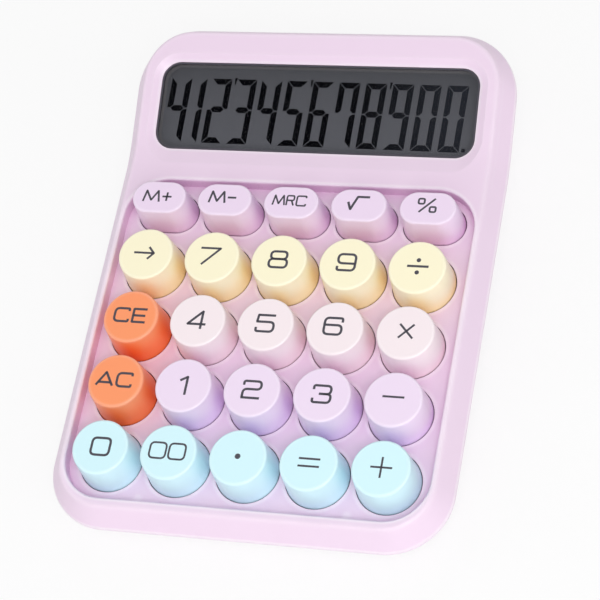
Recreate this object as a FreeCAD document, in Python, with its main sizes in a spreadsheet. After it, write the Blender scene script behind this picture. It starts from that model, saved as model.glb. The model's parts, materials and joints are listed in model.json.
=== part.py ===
import FreeCAD, Part
import Sketcher
import math
import os
from FreeCAD import Vector

doc = FreeCAD.newDocument("desk_calculator")

# Driving dimensions, in millimetres and degrees
SIZES = (
    ("key_pitch", 20, "distance between neighbouring key axes"),
    ("key_spacing", 2, "free space between the feet of neighbouring round keys"),
    ("key_height", 10.5, "key top above the deck"),
    ("key_lean", 0.95, "how far a key's side leans in from foot to top"),
    ("key_edge", 0.6, "rounding of a key's top edge"),
    ("key_gap", 0.26, "running gap between a key and its hole"),
    ("key_travel", 2.5, "full press of a key"),
    ("key_wall", 1.4, "side wall of a hollow key"),
    ("key_roof", 1.6, "top wall of a hollow key"),
    ("flange_lap", 0.44, "how far a key's flange reaches under the deck"),
    ("flange_thickness", 1.2, "thickness of a key's flange"),
    ("post_diameter", 4, "post inside a key that presses the dome"),
    ("memory_width", 12, "foot of an oblong key, front to back"),
    ("memory_spacing", 3.65, "free space between the oblong row and the round rows"),
    ("press_gap", 0.5, "room left under a fully pressed key"),
    ("recess_border", 3.14, "deck between the outer key holes and the recess wall"),
    ("rim_height", 4.2, "rim top above the deck"),
    ("rim_land", 1.4, "flat top of the side rims"),
    ("front_land", 2.5, "flat top of the front rim"),
    ("top_land", 8.6, "face between the window and the back edge"),
    ("edge_inset", 4.2, "how far the slanted outer wall leans in"),
    ("edge_drop", 6.8, "height of the slanted outer wall"),
    ("crest_round", 1.1, "rounding where the slanted wall meets the top"),
    ("skirt_round", 1.5, "rounding where the slanted wall meets the skirt"),
    ("lip_round", 0.6, "rounding of the recess lip"),
    ("cover_depth", 7.6, "top cover from its rim to the parting line"),
    ("deck_wall", 2, "thickness of the key deck"),
    ("face_wall", 2.6, "thickness of the display face"),
    ("side_wall", 4.2, "casing wall at the parting line"),
    ("bend_gap", 9.4, "recess lip to the bend line"),
    ("bend_radius", 40, "radius of the bend between deck and display face"),
    ("display_rise", 14.5, "angle of the display face to the deck"),
    ("deck_tilt", 5, "angle of the deck to the table"),
    ("window_height", 26.8, "display window along the slope"),
    ("window_corner", 5.6, "corner radius of the window"),
    ("window_low_gap", 1.1, "bend line to the window's lower edge"),
    ("window_side_land", 5.3, "face beside the window"),
    ("window_gap", 0.15, "gap round the window pane"),
    ("window_sink", 0.15, "pane below the floor of the dish"),
    ("window_edge", 0.4, "rounding of the pane's front edge"),
    ("window_air", 0.4, "air between the pane and the display glass"),
    ("window_flange", 1.3, "pane flange behind the face, beyond the opening"),
    ("window_flange_thickness", 1, "thickness of that flange"),
    ("dish_width", 2.5, "sloping border round the window"),
    ("dish_depth", 1.1, "depth of that border"),
    ("lcd_thickness", 2.8, "display glass"),
    ("holder_wall", 1.2, "wall of the frame round the glass"),
    ("holder_back", 1.4, "back of that frame"),
    ("holder_gap", 0.2, "gap between the frame and the glass"),
    ("holder_sight", 5, "solid border of the frame's open back"),
    ("ear_radius", 3, "screw ears of the frame"),
    ("ear_position", 36, "screw ears from the middle of the frame"),
    ("ribbon_width", 36, "flat connector"),
    ("ribbon_thickness", 0.3, "flat connector"),
    ("ribbon_bend", 4, "bend radius of the flat connector"),
    ("ribbon_contact", 3, "length of the connector bonded at each end"),
    ("mat_thickness", 0.8, "rubber mat"),
    ("mat_border", 6, "mat and board beyond the outer key axes"),
    ("dome_diameter", 7, "foot of a dome"),
    ("dome_lean", 1.1, "how far a dome's side leans in"),
    ("dome_wall", 0.7, "rubber of a dome"),
    ("board_thickness", 1.6, "circuit board"),
    ("chip_diameter", 12, "moulded blob over the chip"),
    ("chip_height", 1.4, "moulded blob over the chip"),
    ("boss_diameter", 5, "screw bosses of the top cover"),
    ("sleeve_diameter", 7, "screw sleeves of the bottom cover"),
    ("screw_diameter", 2.4, "case screws"),
    ("screw_head", 5, "head of a case screw"),
    ("screw_head_height", 1.8, "head of a case screw"),
    ("screw_gap", 0.1, "gap between a screw and its hole"),
    ("screw_recess", 2.8, "seat of a case screw above the bottom cover's underside"),
    ("small_screw", 1.8, "screws of the board and the frame"),
    ("small_head", 3.6, "head of a small screw"),
    ("small_head_height", 1.2, "head of a small screw"),
    ("small_screw_length", 4, "shank of a small screw"),
    ("boss_front_gap", 10.2, "front case screws ahead of the front key row"),
    ("boss_side_inset", 9, "rear case screws in from the casing's side"),
    ("boss_recess_gap", 0.7, "rear case bosses behind the recess wall"),
    ("joint_depth", 6, "meeting of bosses and sleeves below the deck"),
    ("tray_depth", 9.6, "bottom cover below the parting line"),
    ("tray_gap", 0.25, "step at the parting line"),
    ("tray_wall", 2, "floor of the bottom cover"),
    ("tray_inset", 5.2, "how far the bottom cover's wall leans in"),
    ("tray_rise", 9, "height of that leaning wall"),
    ("tray_round", 1.2, "rounding of the bottom cover's lower edge"),
    ("front_clearance", 1.6, "bottom cover's front edge above the table"),
    ("stand_side_inset", 12, "stand in from the casing's sides"),
    ("stand_back_inset", 11, "stand in from the casing's back"),
    ("stand_length", 50, "stand, front to back"),
    ("stand_corner", 8, "corner radius of the stand"),
    ("stand_draft", 2, "how far the stand's walls lean in"),
    ("stand_wall", 2, "wall of the stand"),
    ("foot_diameter", 10, "rubber feet"),
    ("foot_height", 1.5, "rubber feet below the stand"),
    ("foot_sink", 1, "rubber feet let into the plastic"),
    ("foot_gap", 0.1, "gap round a foot in its recess"),
    ("foot_round", 0.5, "rounding of a foot's lower edge"),
    ("foot_inset", 7.5, "rear feet in from the stand's back"),
    ("front_foot_inset", 15, "front feet in from the casing's sides and front"),
    ("cell_diameter", 10.5, "battery cell"),
    ("cell_length", 44.5, "battery cell over its nub"),
    ("nub_diameter", 3.8, "battery cell's nub"),
    ("nub_length", 1, "battery cell's nub"),
    ("cell_gap", 0.4, "room round the cell"),
    ("cell_inset", 16, "cell's axis in from the stand's back"),
    ("bay_wall", 1.6, "walls of the battery bay"),
    ("contact_thickness", 0.4, "battery contacts"),
    ("contact_width", 8, "battery contacts"),
    ("tab_width", 3, "solder tabs of the contacts"),
    ("tab_height", 2.5, "solder tabs above the bay"),
    ("leaf_reach", 4, "spring leaf of the negative contact"),
    ("leaf_width", 6, "spring leaf of the negative contact"),
    ("door_half_width", 27, "half the battery door"),
    ("door_tongue", 1.5, "tongue along each side of the door"),
    ("door_skin", 0.9, "thickness of the door below its tongues"),
    ("door_thickness", 1.8, "battery door"),
    ("door_gap", 0.2, "gap round the door"),
    ("door_lap", 2.5, "door beyond the front of the bay"),
    ("grip_width", 16, "finger ridges of the door"),
    ("grip_pitch", 2, "distance between finger ridges"),
    ("grip_depth", 0.4, "depth of the grooves between ridges"),
    ("lead_diameter", 1.2, "battery leads"),
    ("lead_bend", 6, "bend radius of the leads"),
)

# Worked-out dimensions. The deck frame has its origin on the deck, at the axis of the middle front key
DERIVED = (
    ("key_foot", "sizes.key_pitch - sizes.key_spacing"),
    ("hole_radius", "derived.key_foot / 2 + sizes.key_gap"),
    ("recess_reach", "derived.hole_radius + sizes.recess_border"),
    ("recess_half", "2 * sizes.key_pitch + derived.recess_reach"),
    ("half_width", "derived.recess_half + sizes.rim_land + sizes.edge_inset"),
    ("corner_radius", "derived.recess_reach + sizes.rim_land + sizes.edge_inset"),
    ("front", "-derived.recess_reach - sizes.front_land - sizes.edge_inset"),
    ("memory_row", "3 * sizes.key_pitch + derived.key_foot / 2 + sizes.memory_spacing"
                   " + sizes.memory_width / 2"),
    ("recess_back", "derived.memory_row + sizes.memory_width / 2 + sizes.key_gap + sizes.recess_border"),
    ("bend", "derived.recess_back + sizes.bend_gap"),
    ("rise_cos", "cos(sizes.display_rise * 1deg)"),
    ("rise_sin", "sin(sizes.display_rise * 1deg)"),
    ("rise_tan", "tan(sizes.display_rise * 1deg)"),
    ("tilt_cos", "cos(sizes.deck_tilt * 1deg)"),
    ("tilt_sin", "sin(sizes.deck_tilt * 1deg)"),
    ("window_top", "sizes.window_low_gap + sizes.window_height"),
    ("window_middle", "sizes.window_low_gap + sizes.window_height / 2"),
    ("window_width", "2 * (derived.half_width - sizes.edge_inset - sizes.window_side_land)"),
    ("back", "derived.bend + derived.window_top * derived.rise_cos + sizes.top_land + sizes.edge_inset"),
    ("bend_axis_y", "derived.bend - sizes.bend_radius * tan(sizes.display_rise / 2 * 1deg)"),
    ("bend_axis_z", "sizes.rim_height + sizes.bend_radius"),
    ("tray_drop", "sizes.cover_depth + sizes.tray_depth"),
    ("tray_floor", "sizes.rim_height - derived.tray_drop"),
    ("mat_top", "-(sizes.deck_wall + sizes.flange_thickness + sizes.key_travel + sizes.press_gap)"),
    ("board_top", "derived.mat_top - sizes.mat_thickness"),
    ("board_under", "derived.board_top - sizes.board_thickness"),
    ("dome_height", "sizes.key_travel + sizes.press_gap"),
    ("board_back", "derived.memory_row + sizes.mat_border"),
    ("case_front_y", "-sizes.boss_front_gap"),
    ("case_rear_y", "derived.recess_back + sizes.boss_recess_gap + sizes.boss_diameter / 2"),
    ("case_rear_x", "derived.half_width - sizes.boss_side_inset"),
    ("pane_drop", "sizes.dish_depth + sizes.window_sink"),
    ("lcd_drop", "sizes.face_wall + sizes.window_flange_thickness"),
    ("lcd_under", "derived.lcd_drop + sizes.lcd_thickness"),
    ("lcd_width", "derived.window_width + 2 * sizes.window_flange"),
    ("lcd_height", "sizes.window_height + 2 * sizes.window_flange"),
    ("lcd_corner", "sizes.window_corner + sizes.window_flange"),
    ("holder_drop", "derived.lcd_under + sizes.holder_back"),
    ("holder_width", "derived.lcd_width + 2 * (sizes.holder_gap + sizes.holder_wall)"),
    ("holder_height", "derived.lcd_height + 2 * (sizes.holder_gap + sizes.holder_wall)"),
    ("ear_y", "-derived.holder_height / 2 - sizes.ear_radius - sizes.holder_gap"),
    ("skirt_top", "sizes.rim_height - sizes.edge_drop"),
    ("parting_back", "sizes.rim_height + (derived.back - derived.bend) * derived.rise_tan"
                     " - sizes.cover_depth / derived.rise_cos"),
    ("row_front", "derived.front * derived.tilt_cos - derived.skirt_top * derived.tilt_sin"),
    ("row_back", "derived.back * derived.tilt_cos - derived.parting_back * derived.tilt_sin"),
    ("shift", "-(derived.row_front + derived.row_back) / 2"),
    ("lift", "sizes.front_clearance - (derived.front + sizes.tray_inset) * derived.tilt_sin"
             " - derived.tray_floor * derived.tilt_cos"),
    ("half_length", "(derived.row_back - derived.row_front) / 2"),
    ("stand_back", "derived.half_length - sizes.stand_back_inset"),
    ("stand_middle", "derived.stand_back - sizes.stand_length / 2"),
    ("stand_width", "2 * (derived.half_width - sizes.stand_side_inset)"),
    ("stand_back_deck", "(derived.stand_back - derived.shift) / derived.tilt_cos"),
    ("stand_top", "derived.lift + derived.stand_back_deck * derived.tilt_sin"
                  " + derived.tilt_cos * (sizes.rim_height"
                  " + (derived.stand_back_deck - derived.bend) * derived.rise_tan"
                  " - derived.tray_drop / derived.rise_cos) + sizes.tray_wall / 2"),
    ("door_back", "derived.stand_back - sizes.stand_draft"),
    ("door_top", "sizes.foot_height + sizes.door_thickness"),
    ("cell_y", "derived.stand_back - sizes.cell_inset"),
    ("cell_z", "derived.door_top + sizes.door_gap + sizes.cell_gap + sizes.cell_diameter / 2"),
    ("bay_half", "sizes.cell_diameter / 2 + sizes.cell_gap"),
    ("bay_top", "derived.cell_z + derived.bay_half"),
    ("bay_right", "(sizes.cell_length + sizes.leaf_reach) / 2 + sizes.contact_thickness"),
    ("bay_left", "-derived.bay_right"),
    ("cell_x", "sizes.leaf_reach / 2"),
    ("door_side", "sizes.door_half_width + sizes.door_tongue + sizes.door_gap"),
    ("rear_foot_x", "(derived.door_side + derived.stand_width / 2 - sizes.stand_draft) / 2"),
    ("door_front", "derived.cell_y - derived.bay_half - sizes.door_lap"),
    ("front_foot_y", "(derived.front + sizes.front_foot_inset) * derived.tilt_cos"
                     " - derived.tray_floor * derived.tilt_sin + derived.shift"),
    ("front_foot_top", "derived.lift + (derived.front + sizes.front_foot_inset) * derived.tilt_sin"
                       " + derived.tray_floor * derived.tilt_cos + sizes.foot_sink"),
    ("rear_foot_top", "sizes.foot_height + sizes.foot_sink"),
)

ROUND_ROWS = (
    ("0", "00", "decimal_point", "equals", "add"),
    ("all_clear", "1", "2", "3", "subtract"),
    ("clear_entry", "4", "5", "6", "multiply"),
    ("backspace", "7", "8", "9", "divide"),
)
MEMORY_ROW = ("memory_plus", "memory_minus", "memory_recall", "square_root", "percent")
COLUMNS = (-2, -1, 0, 1, 2)


def make_sheet(name, rows):
    """A sheet with one named value in each row."""
    sheet = doc.addObject("Spreadsheet::Sheet", name)
    for index, row in enumerate(rows, start=1):
        sheet.set("A%d" % index, row[0])
        sheet.set("B%d" % index, row[1])
        sheet.setAlias("B%d" % index, row[0])
        if len(row) > 2:
            sheet.set("C%d" % index, row[2])
    doc.recompute()
    return sheet


sheet = make_sheet("sizes", [(alias, str(value), note) for alias, value, note in SIZES])
make_sheet("derived", [(alias, "=" + formula) for alias, formula in DERIVED])


def number(formula):
    """The value of a formula over the sheets."""
    value = sheet.evalExpression(formula)
    return float(getattr(value, "Value", value))


# Sketches and their dimensions
def start_sketch(body, name, role="XY_Plane", lift="0"):
    sketch = body.newObject("Sketcher::SketchObject", name)
    plane = [feature for feature in body.Origin.OriginFeatures if feature.Role == role][0]
    sketch.AttachmentSupport = [(plane, "")]
    sketch.MapMode = "FlatFace"
    sketch.setExpression("AttachmentOffset.Base.z", lift)
    return sketch


def measure(sketch, kind, *where):
    """One dimension of a sketch, tied to a formula, which is the last argument."""
    formula = where[-1]
    index = sketch.addConstraint(Sketcher.Constraint(kind, *where[:-1], number(formula)))
    sketch.setExpression("Constraints[%d]" % index, formula)


def locate(sketch, geometry, point, x, y):
    """Ties a point of a sketch to its two coordinates."""
    for kind, axis, value in (("DistanceX", -2, x), ("DistanceY", -1, y)):
        if value == "0":
            sketch.addConstraint(Sketcher.Constraint("PointOnObject", geometry, point, axis))
        else:
            measure(sketch, kind, geometry, point, value)


def relate(sketch, kind, *where):
    sketch.addConstraint(Sketcher.Constraint(kind, *where))


def draw_circle(sketch, radius, x="0", y="0"):
    centre = Vector(number(x), number(y), 0)
    index = sketch.addGeometry(Part.Circle(centre, Vector(0, 0, 1), number(radius)), False)
    locate(sketch, index, 3, x, y)
    measure(sketch, "Radius", index, radius)


def draw_arc(sketch, x, y, radius, start, end):
    circle = Part.Circle(Vector(x, y, 0), Vector(0, 0, 1), radius)
    quarter = math.pi / 2
    return sketch.addGeometry(Part.ArcOfCircle(circle, start * quarter, end * quarter), False)


def draw_line(sketch, start, end):
    return sketch.addGeometry(Part.LineSegment(Vector(*start, 0), Vector(*end, 0)), False)


def draw_polygon(sketch, corners):
    """A closed outline of straight lines through corners given as pairs of formulas."""
    points = [(number(x), number(y)) for x, y in corners]
    lines = [draw_line(sketch, start, end) for start, end in zip(points, points[1:] + points[:1])]
    for line, following, (x, y) in zip(lines, lines[1:] + lines[:1], corners):
        relate(sketch, "Coincident", line, 2, following, 1)
        locate(sketch, line, 1, x, y)


def draw_rounded(sketch, width, height, radius, x="0", y="0"):
    """A rectangle with rounded corners about a middle point."""
    w, h, r = number(width) / 2, number(height) / 2, number(radius)
    cx, cy = number(x), number(y)
    low = draw_line(sketch, (cx - w + r, cy - h), (cx + w - r, cy - h))
    right = draw_line(sketch, (cx + w, cy - h + r), (cx + w, cy + h - r))
    high = draw_line(sketch, (cx + w - r, cy + h), (cx - w + r, cy + h))
    left = draw_line(sketch, (cx - w, cy + h - r), (cx - w, cy - h + r))
    sides = (low, right, high, left)
    spots = ((w - r, r - h, 3), (w - r, h - r, 0), (r - w, h - r, 1), (r - w, r - h, 2))
    arcs = [draw_arc(sketch, cx + dx, cy + dy, r, turn, turn + 1) for dx, dy, turn in spots]
    for index, arc in enumerate(arcs):
        relate(sketch, "Tangent", sides[index], 2, arc, 1)
        relate(sketch, "Tangent", arc, 2, sides[(index + 1) % 4], 1)
    for arc in arcs[1:]:
        relate(sketch, "Equal", arcs[0], arc)
    for side in (low, high):
        relate(sketch, "Horizontal", side)
    for side in (left, right):
        relate(sketch, "Vertical", side)
    measure(sketch, "Radius", arcs[0], radius)
    measure(sketch, "DistanceX", left, 1, "(%s) - (%s) / 2" % (x, width))
    measure(sketch, "DistanceX", right, 1, "(%s) + (%s) / 2" % (x, width))
    measure(sketch, "DistanceY", low, 1, "(%s) - (%s) / 2" % (y, height))
    measure(sketch, "DistanceY", high, 1, "(%s) + (%s) / 2" % (y, height))


def draw_stadium(sketch, length, width, x="0", y="0"):
    """An oblong with round ends, along X."""
    r, cx, cy = number(width) / 2, number(x), number(y)
    reach = (number(length) - number(width)) / 2
    low = draw_line(sketch, (cx - reach, cy - r), (cx + reach, cy - r))
    high = draw_line(sketch, (cx + reach, cy + r), (cx - reach, cy + r))
    right = draw_arc(sketch, cx + reach, cy, r, 3, 5)
    left = draw_arc(sketch, cx - reach, cy, r, 1, 3)
    relate(sketch, "Tangent", low, 2, right, 1)
    relate(sketch, "Tangent", right, 2, high, 1)
    relate(sketch, "Tangent", high, 2, left, 1)
    relate(sketch, "Tangent", left, 2, low, 1)
    relate(sketch, "Equal", left, right)
    locate(sketch, right, 3, "(%s) + ((%s) - (%s)) / 2" % (x, length, width), y)
    locate(sketch, left, 3, "(%s) - ((%s) - (%s)) / 2" % (x, length, width), y)
    measure(sketch, "Radius", left, "(%s) / 2" % width)


# Features
def make_body(label):
    return doc.addObject("PartDesign::Body", label)


def pad(body, sketch, length, symmetric=False, downward=False, taper=None):
    feature = body.newObject("PartDesign::Pad", sketch.Name + "_pad")
    feature.Profile = sketch
    feature.setExpression("Length", length)
    feature.SideType = "Symmetric" if symmetric else "One side"
    feature.Reversed = downward
    feature.AllowMultiFace = True
    if taper:
        feature.setExpression("TaperAngle", taper)
    doc.recompute()
    return feature


def pocket(body, sketch, length=None, symmetric=False, upward=False, taper=None):
    """Cuts a sketch out of a body, and makes sure that something was cut."""
    before = body.Shape.Volume
    feature = body.newObject("PartDesign::Pocket", sketch.Name + "_cut")
    feature.Profile = sketch
    feature.SideType = "Symmetric" if symmetric else "One side"
    feature.Reversed = upward
    feature.AllowMultiFace = True
    if length:
        feature.setExpression("Length", length)
    else:
        feature.Type = "ThroughAll"
    if taper:
        feature.setExpression("TaperAngle", taper)
    doc.recompute()
    if not feature.Shape.Volume < before:
        raise RuntimeError(sketch.Name + " cuts nothing")
    return feature


def dress(body, kind, name, edges, **sizes):
    """A fillet or chamfer on named edges of the body's last feature."""
    base = body.Tip
    feature = body.newObject(kind, name)
    feature.Base = (base, edges)
    for size, formula in sizes.items():
        feature.setExpression(size, formula)
    doc.recompute()
    return feature


def fillet(body, name, edges, radius):
    return dress(body, "PartDesign::Fillet", name, edges, Radius=radius)


def edge_names(shape, wanted):
    return ["Edge%d" % index for index, edge in enumerate(shape.Edges, start=1) if wanted(edge)]


def rise(face):
    """How far a face looks upward: 1 for level, 0 for upright, -1 for an underside."""
    low_u, high_u, low_v, high_v = face.ParameterRange
    return face.normalAt((low_u + high_u) / 2, (low_v + high_v) / 2).z


def border_edges(shape, low, high):
    """The edges between the faces that look up from low to high and all other faces."""
    inside = [face for face in shape.Faces if low <= rise(face) <= high]
    chosen = []
    for index, edge in enumerate(shape.Edges, start=1):
        owners = [face for face in inside if any(edge.isSame(other) for other in face.Edges)]
        if len(owners) == 1:
            chosen.append("Edge%d" % index)
    return chosen


def upright(edge):
    """True for a straight edge along Z."""
    start, end = edge.Vertexes[0].Point, edge.Vertexes[-1].Point
    return (end - start).cross(Vector(0, 0, 1)).Length < 1e-6 and (end - start).Length > 1e-6


def at_height(edge, height):
    box = edge.BoundBox
    return max(abs(box.ZMin - height), abs(box.ZMax - height)) < 1e-6


def place(piece, x, y, z, angle):
    """Turns a piece about X and puts its origin at a point, all tied to formulas."""
    for axis, value in zip("xyz", ("1", "0", "0")):
        piece.setExpression("Placement.Rotation.Axis." + axis, value)
    piece.setExpression("Placement.Rotation.Angle", angle)
    for axis, value in zip("xyz", (x, y, z)):
        piece.setExpression("Placement.Base." + axis, value)


def deck_point(y, z):
    """The place in the part's frame of a point given in the deck frame."""
    row_y = "(%s) * derived.tilt_cos - (%s) * derived.tilt_sin + derived.shift" % (y, z)
    row_z = "(%s) * derived.tilt_sin + (%s) * derived.tilt_cos + derived.lift" % (y, z)
    return row_y, row_z


def lay_on_deck(piece, x="0", y="0"):
    place(piece, x, *deck_point(y, "0"), "sizes.deck_tilt")


def lay_on_display(piece):
    """Puts a piece's origin in the middle of the window, on the display face."""
    y = "derived.bend + derived.window_middle * derived.rise_cos"
    z = "sizes.rim_height + derived.window_middle * derived.rise_sin"
    place(piece, "0", *deck_point(y, z), "sizes.deck_tilt + sizes.display_rise")


def boolean(kind, label, base, tools):
    """A cut or fuse of a base and a list of tools."""
    if kind == "Part::Cut":
        result = doc.addObject(kind, label)
        result.Base = base
        single = len(tools) == 1
        result.Tool = tools[0] if single else boolean("Part::MultiFuse", label + "_tools", None, tools)
    else:
        result = doc.addObject("Part::MultiFuse", label)
        result.Shapes = ([base] if base else []) + tools
    result.Label = label
    doc.recompute()
    return result


def box(label, x0, x1, y0, y1, z0, z1):
    """A block between pairs of formulas, in the part's frame."""
    block = doc.addObject("Part::Box", label)
    for side, low, high in (("Length", x0, x1), ("Width", y0, y1), ("Height", z0, z1)):
        block.setExpression(side, "(%s) - (%s)" % (high, low))
    for axis, low in zip("xyz", (x0, y0, z0)):
        block.setExpression("Placement.Base." + axis, low)
    return block


# Casing: slabs that follow the deck, the bend and the display face
def bent_slab(label, top, bottom, inset):
    """A slab between two depths below the casing's top, inset from the outline, in the deck frame."""
    body = make_body(label)
    sketch = start_sketch(body, label + "_side", "YZ_Plane")
    front = "derived.front + (%s)" % inset
    back = "derived.back - (%s)" % inset
    angle = number("sizes.display_rise * 1deg") / 90
    axis_y, axis_z = number("derived.bend_axis_y"), number("derived.bend_axis_z")
    ends = {}
    for drop in (top, bottom):
        radius = number("sizes.bend_radius + (%s)" % drop)
        bend_end = (axis_y + radius * number("derived.rise_sin"),
                    axis_z - radius * number("derived.rise_cos"))
        run = number(back) - bend_end[0]
        far = (number(back), bend_end[1] + run * number("derived.rise_tan"))
        ends[drop] = ((number(front), axis_z - radius), (axis_y, axis_z - radius), bend_end, far, radius)
    near, start, end, far, radius = ends[top]
    near_low, start_low, end_low, far_low, radius_low = ends[bottom]
    deck = draw_line(sketch, near, start)
    bend = draw_arc(sketch, axis_y, axis_z, radius, 3, 3 + angle)
    face = draw_line(sketch, end, far)
    back_wall = draw_line(sketch, far, far_low)
    face_low = draw_line(sketch, far_low, end_low)
    bend_low = draw_arc(sketch, axis_y, axis_z, radius_low, 3, 3 + angle)
    deck_low = draw_line(sketch, start_low, near_low)
    front_wall = draw_line(sketch, near_low, near)
    for line in (deck, deck_low):
        relate(sketch, "Horizontal", line)
    for line in (front_wall, back_wall):
        relate(sketch, "Vertical", line)
    corners = ((face, back_wall), (back_wall, face_low), (deck_low, front_wall), (front_wall, deck))
    for first, second in corners:
        relate(sketch, "Coincident", first, 2, second, 1)
    relate(sketch, "Tangent", deck, 2, bend, 1)
    relate(sketch, "Tangent", bend, 2, face, 1)
    relate(sketch, "Tangent", face_low, 2, bend_low, 2)
    relate(sketch, "Tangent", bend_low, 1, deck_low, 1)
    relate(sketch, "Coincident", bend, 3, bend_low, 3)
    relate(sketch, "Parallel", face, face_low)
    locate(sketch, bend, 3, "derived.bend_axis_y", "derived.bend_axis_z")
    measure(sketch, "Angle", face, "sizes.display_rise * 1deg")
    measure(sketch, "DistanceY", deck, 1, "sizes.rim_height - (%s)" % top)
    measure(sketch, "DistanceY", deck_low, 1, "sizes.rim_height - (%s)" % bottom)
    measure(sketch, "DistanceX", front_wall, 1, front)
    measure(sketch, "DistanceX", back_wall, 1, back)
    pad(body, sketch, "2 * (derived.half_width - (%s))" % inset, symmetric=True)
    corners = edge_names(body.Shape, upright)
    fillet(body, label + "_corners", corners, "derived.corner_radius - (%s)" % inset)
    lay_on_deck(body)
    return body


def slant_border(body, name, low, high, inset, drop):
    """Slants the wall all round the faces that look up from low to high."""
    shape = body.Tip.Shape
    edge = border_edges(shape, low, high)[0]
    target = shape.Edges[int(edge[4:]) - 1]
    owners = [face for face in shape.Faces if any(target.isSame(other) for other in face.Edges)]
    feature = dress(body, "PartDesign::Chamfer", name, [edge], Size=inset, Size2=drop)
    feature.ChamferType = "Two distances"
    feature.FlipDirection = not low <= rise(owners[0]) <= high
    doc.recompute()


LEVEL = (0.9, 1.01)
LEVEL_BELOW = (-1.01, -0.9)


def make_cover_blank():
    body = bent_slab("cover_blank", "0", "sizes.cover_depth", "0")
    slant_border(body, "cover_slant", *LEVEL, "sizes.edge_inset", "sizes.edge_drop")
    fillet(body, "cover_crest", border_edges(body.Tip.Shape, *LEVEL), "sizes.crest_round")
    skirt = [name for name in border_edges(body.Tip.Shape, -0.05, 0.05)
             if name not in border_edges(body.Tip.Shape, *LEVEL_BELOW)]
    fillet(body, "cover_skirt", skirt, "sizes.skirt_round")

    recess = start_sketch(body, "key_recess")
    draw_rounded(recess, "2 * derived.recess_half", "derived.recess_back + derived.recess_reach",
                 "derived.recess_reach", "0", "(derived.recess_back - derived.recess_reach) / 2")
    pocket(body, recess, upward=True)
    half, back, rim = number("derived.recess_half"), number("derived.recess_back"), number("sizes.rim_height")

    def on_lip(edge):
        bounds = edge.BoundBox
        inside = max(abs(bounds.XMin), abs(bounds.XMax)) < half + 1e-4 and bounds.YMax < back + 1e-4
        return at_height(edge, rim) and inside

    fillet(body, "recess_lip", edge_names(body.Tip.Shape, on_lip), "sizes.lip_round")

    holes = start_sketch(body, "key_holes")
    for column in COLUMNS:
        x = "%d * sizes.key_pitch" % column if column else "0"
        for row in range(len(ROUND_ROWS)):
            draw_circle(holes, "derived.hole_radius", x, "%d * sizes.key_pitch" % row if row else "0")
        draw_stadium(holes, "2 * derived.hole_radius", "sizes.memory_width + 2 * sizes.key_gap",
                     x, "derived.memory_row")
    pocket(body, holes)
    return body


def make_cover_core():
    """The hollow of the top cover: shallow under the deck, taller behind the recess."""
    body = bent_slab("cover_core", "sizes.face_wall", "derived.tray_drop", "sizes.side_wall")
    sketch = start_sketch(body, "deck_step", "YZ_Plane")
    wall = "derived.recess_back + sizes.deck_wall"
    front, top = "derived.front", "sizes.rim_height"
    draw_polygon(sketch, ((front, "-sizes.deck_wall"), (wall, "-sizes.deck_wall"), (wall, top), (front, top)))
    pocket(body, sketch, symmetric=True)
    return body


def rounded_block(label, parts, lay):
    """A stack of rounded plates: each is width, height, corner radius, top and bottom."""
    body = make_body(label)
    for index, (width, height, radius, top, bottom) in enumerate(parts):
        sketch = start_sketch(body, "%s_%d" % (label, index), lift=top)
        draw_rounded(sketch, width, height, radius)
        pad(body, sketch, "(%s) - (%s)" % (top, bottom), downward=True)
    lay(body)
    return body


def make_window_cut():
    """The sloping border and the opening of the window, as one cutter."""
    body = make_body("window_cut")
    floor = start_sketch(body, "dish_floor", lift="-sizes.dish_depth")
    draw_rounded(floor, "derived.window_width", "sizes.window_height", "sizes.window_corner")
    mouth = start_sketch(body, "dish_mouth", lift="sizes.dish_depth")
    wider = "4 * sizes.dish_width"
    draw_rounded(mouth, "derived.window_width + " + wider, "sizes.window_height + " + wider,
                 "sizes.window_corner + 2 * sizes.dish_width")
    loft = body.newObject("PartDesign::AdditiveLoft", "dish")
    loft.Profile = floor
    loft.Sections = [mouth]
    loft.Ruled = True
    doc.recompute()
    opening = start_sketch(body, "window_opening", lift="-sizes.dish_depth")
    draw_rounded(opening, "derived.window_width", "sizes.window_height", "sizes.window_corner")
    pad(body, opening, "2 * sizes.face_wall", downward=True)
    lay_on_display(body)
    return body


def posts(label, spots, radius, top, bottom, lay=lay_on_deck):
    """Upright cylinders of one radius between two heights."""
    body = make_body(label)
    sketch = start_sketch(body, label + "_spots", lift=bottom)
    for x, y in spots:
        draw_circle(sketch, radius, x, y)
    pad(body, sketch, "(%s) - (%s)" % (top, bottom))
    lay(body)
    return body


def both_sides(x, *rows):
    return [(sign + "(" + x + ")", y) for sign in ("-", "") for y in rows]


BOARD_SPOTS = both_sides("1.5 * sizes.key_pitch", "0.5 * sizes.key_pitch", "2.5 * sizes.key_pitch",
                         "(3 * sizes.key_pitch + derived.memory_row) / 2")
CASE_FRONT = both_sides("1.5 * sizes.key_pitch", "derived.case_front_y")
CASE_REAR = both_sides("derived.case_rear_x", "derived.case_rear_y")
EAR_SPOTS = both_sides("sizes.ear_position", "derived.ear_y")
BOSS = "sizes.boss_diameter / 2"
JOINT = "-sizes.joint_depth"
PILOT = "sizes.screw_diameter / 2 + sizes.screw_gap / 2"
SMALL_PILOT = "sizes.small_screw / 2 + sizes.screw_gap / 2"
SCREW_SEAT = "derived.tray_floor + sizes.screw_recess"
SCREW_TIP = "-0.75 * sizes.deck_wall"
EAR_SEAT = "-derived.lcd_under"


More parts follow.
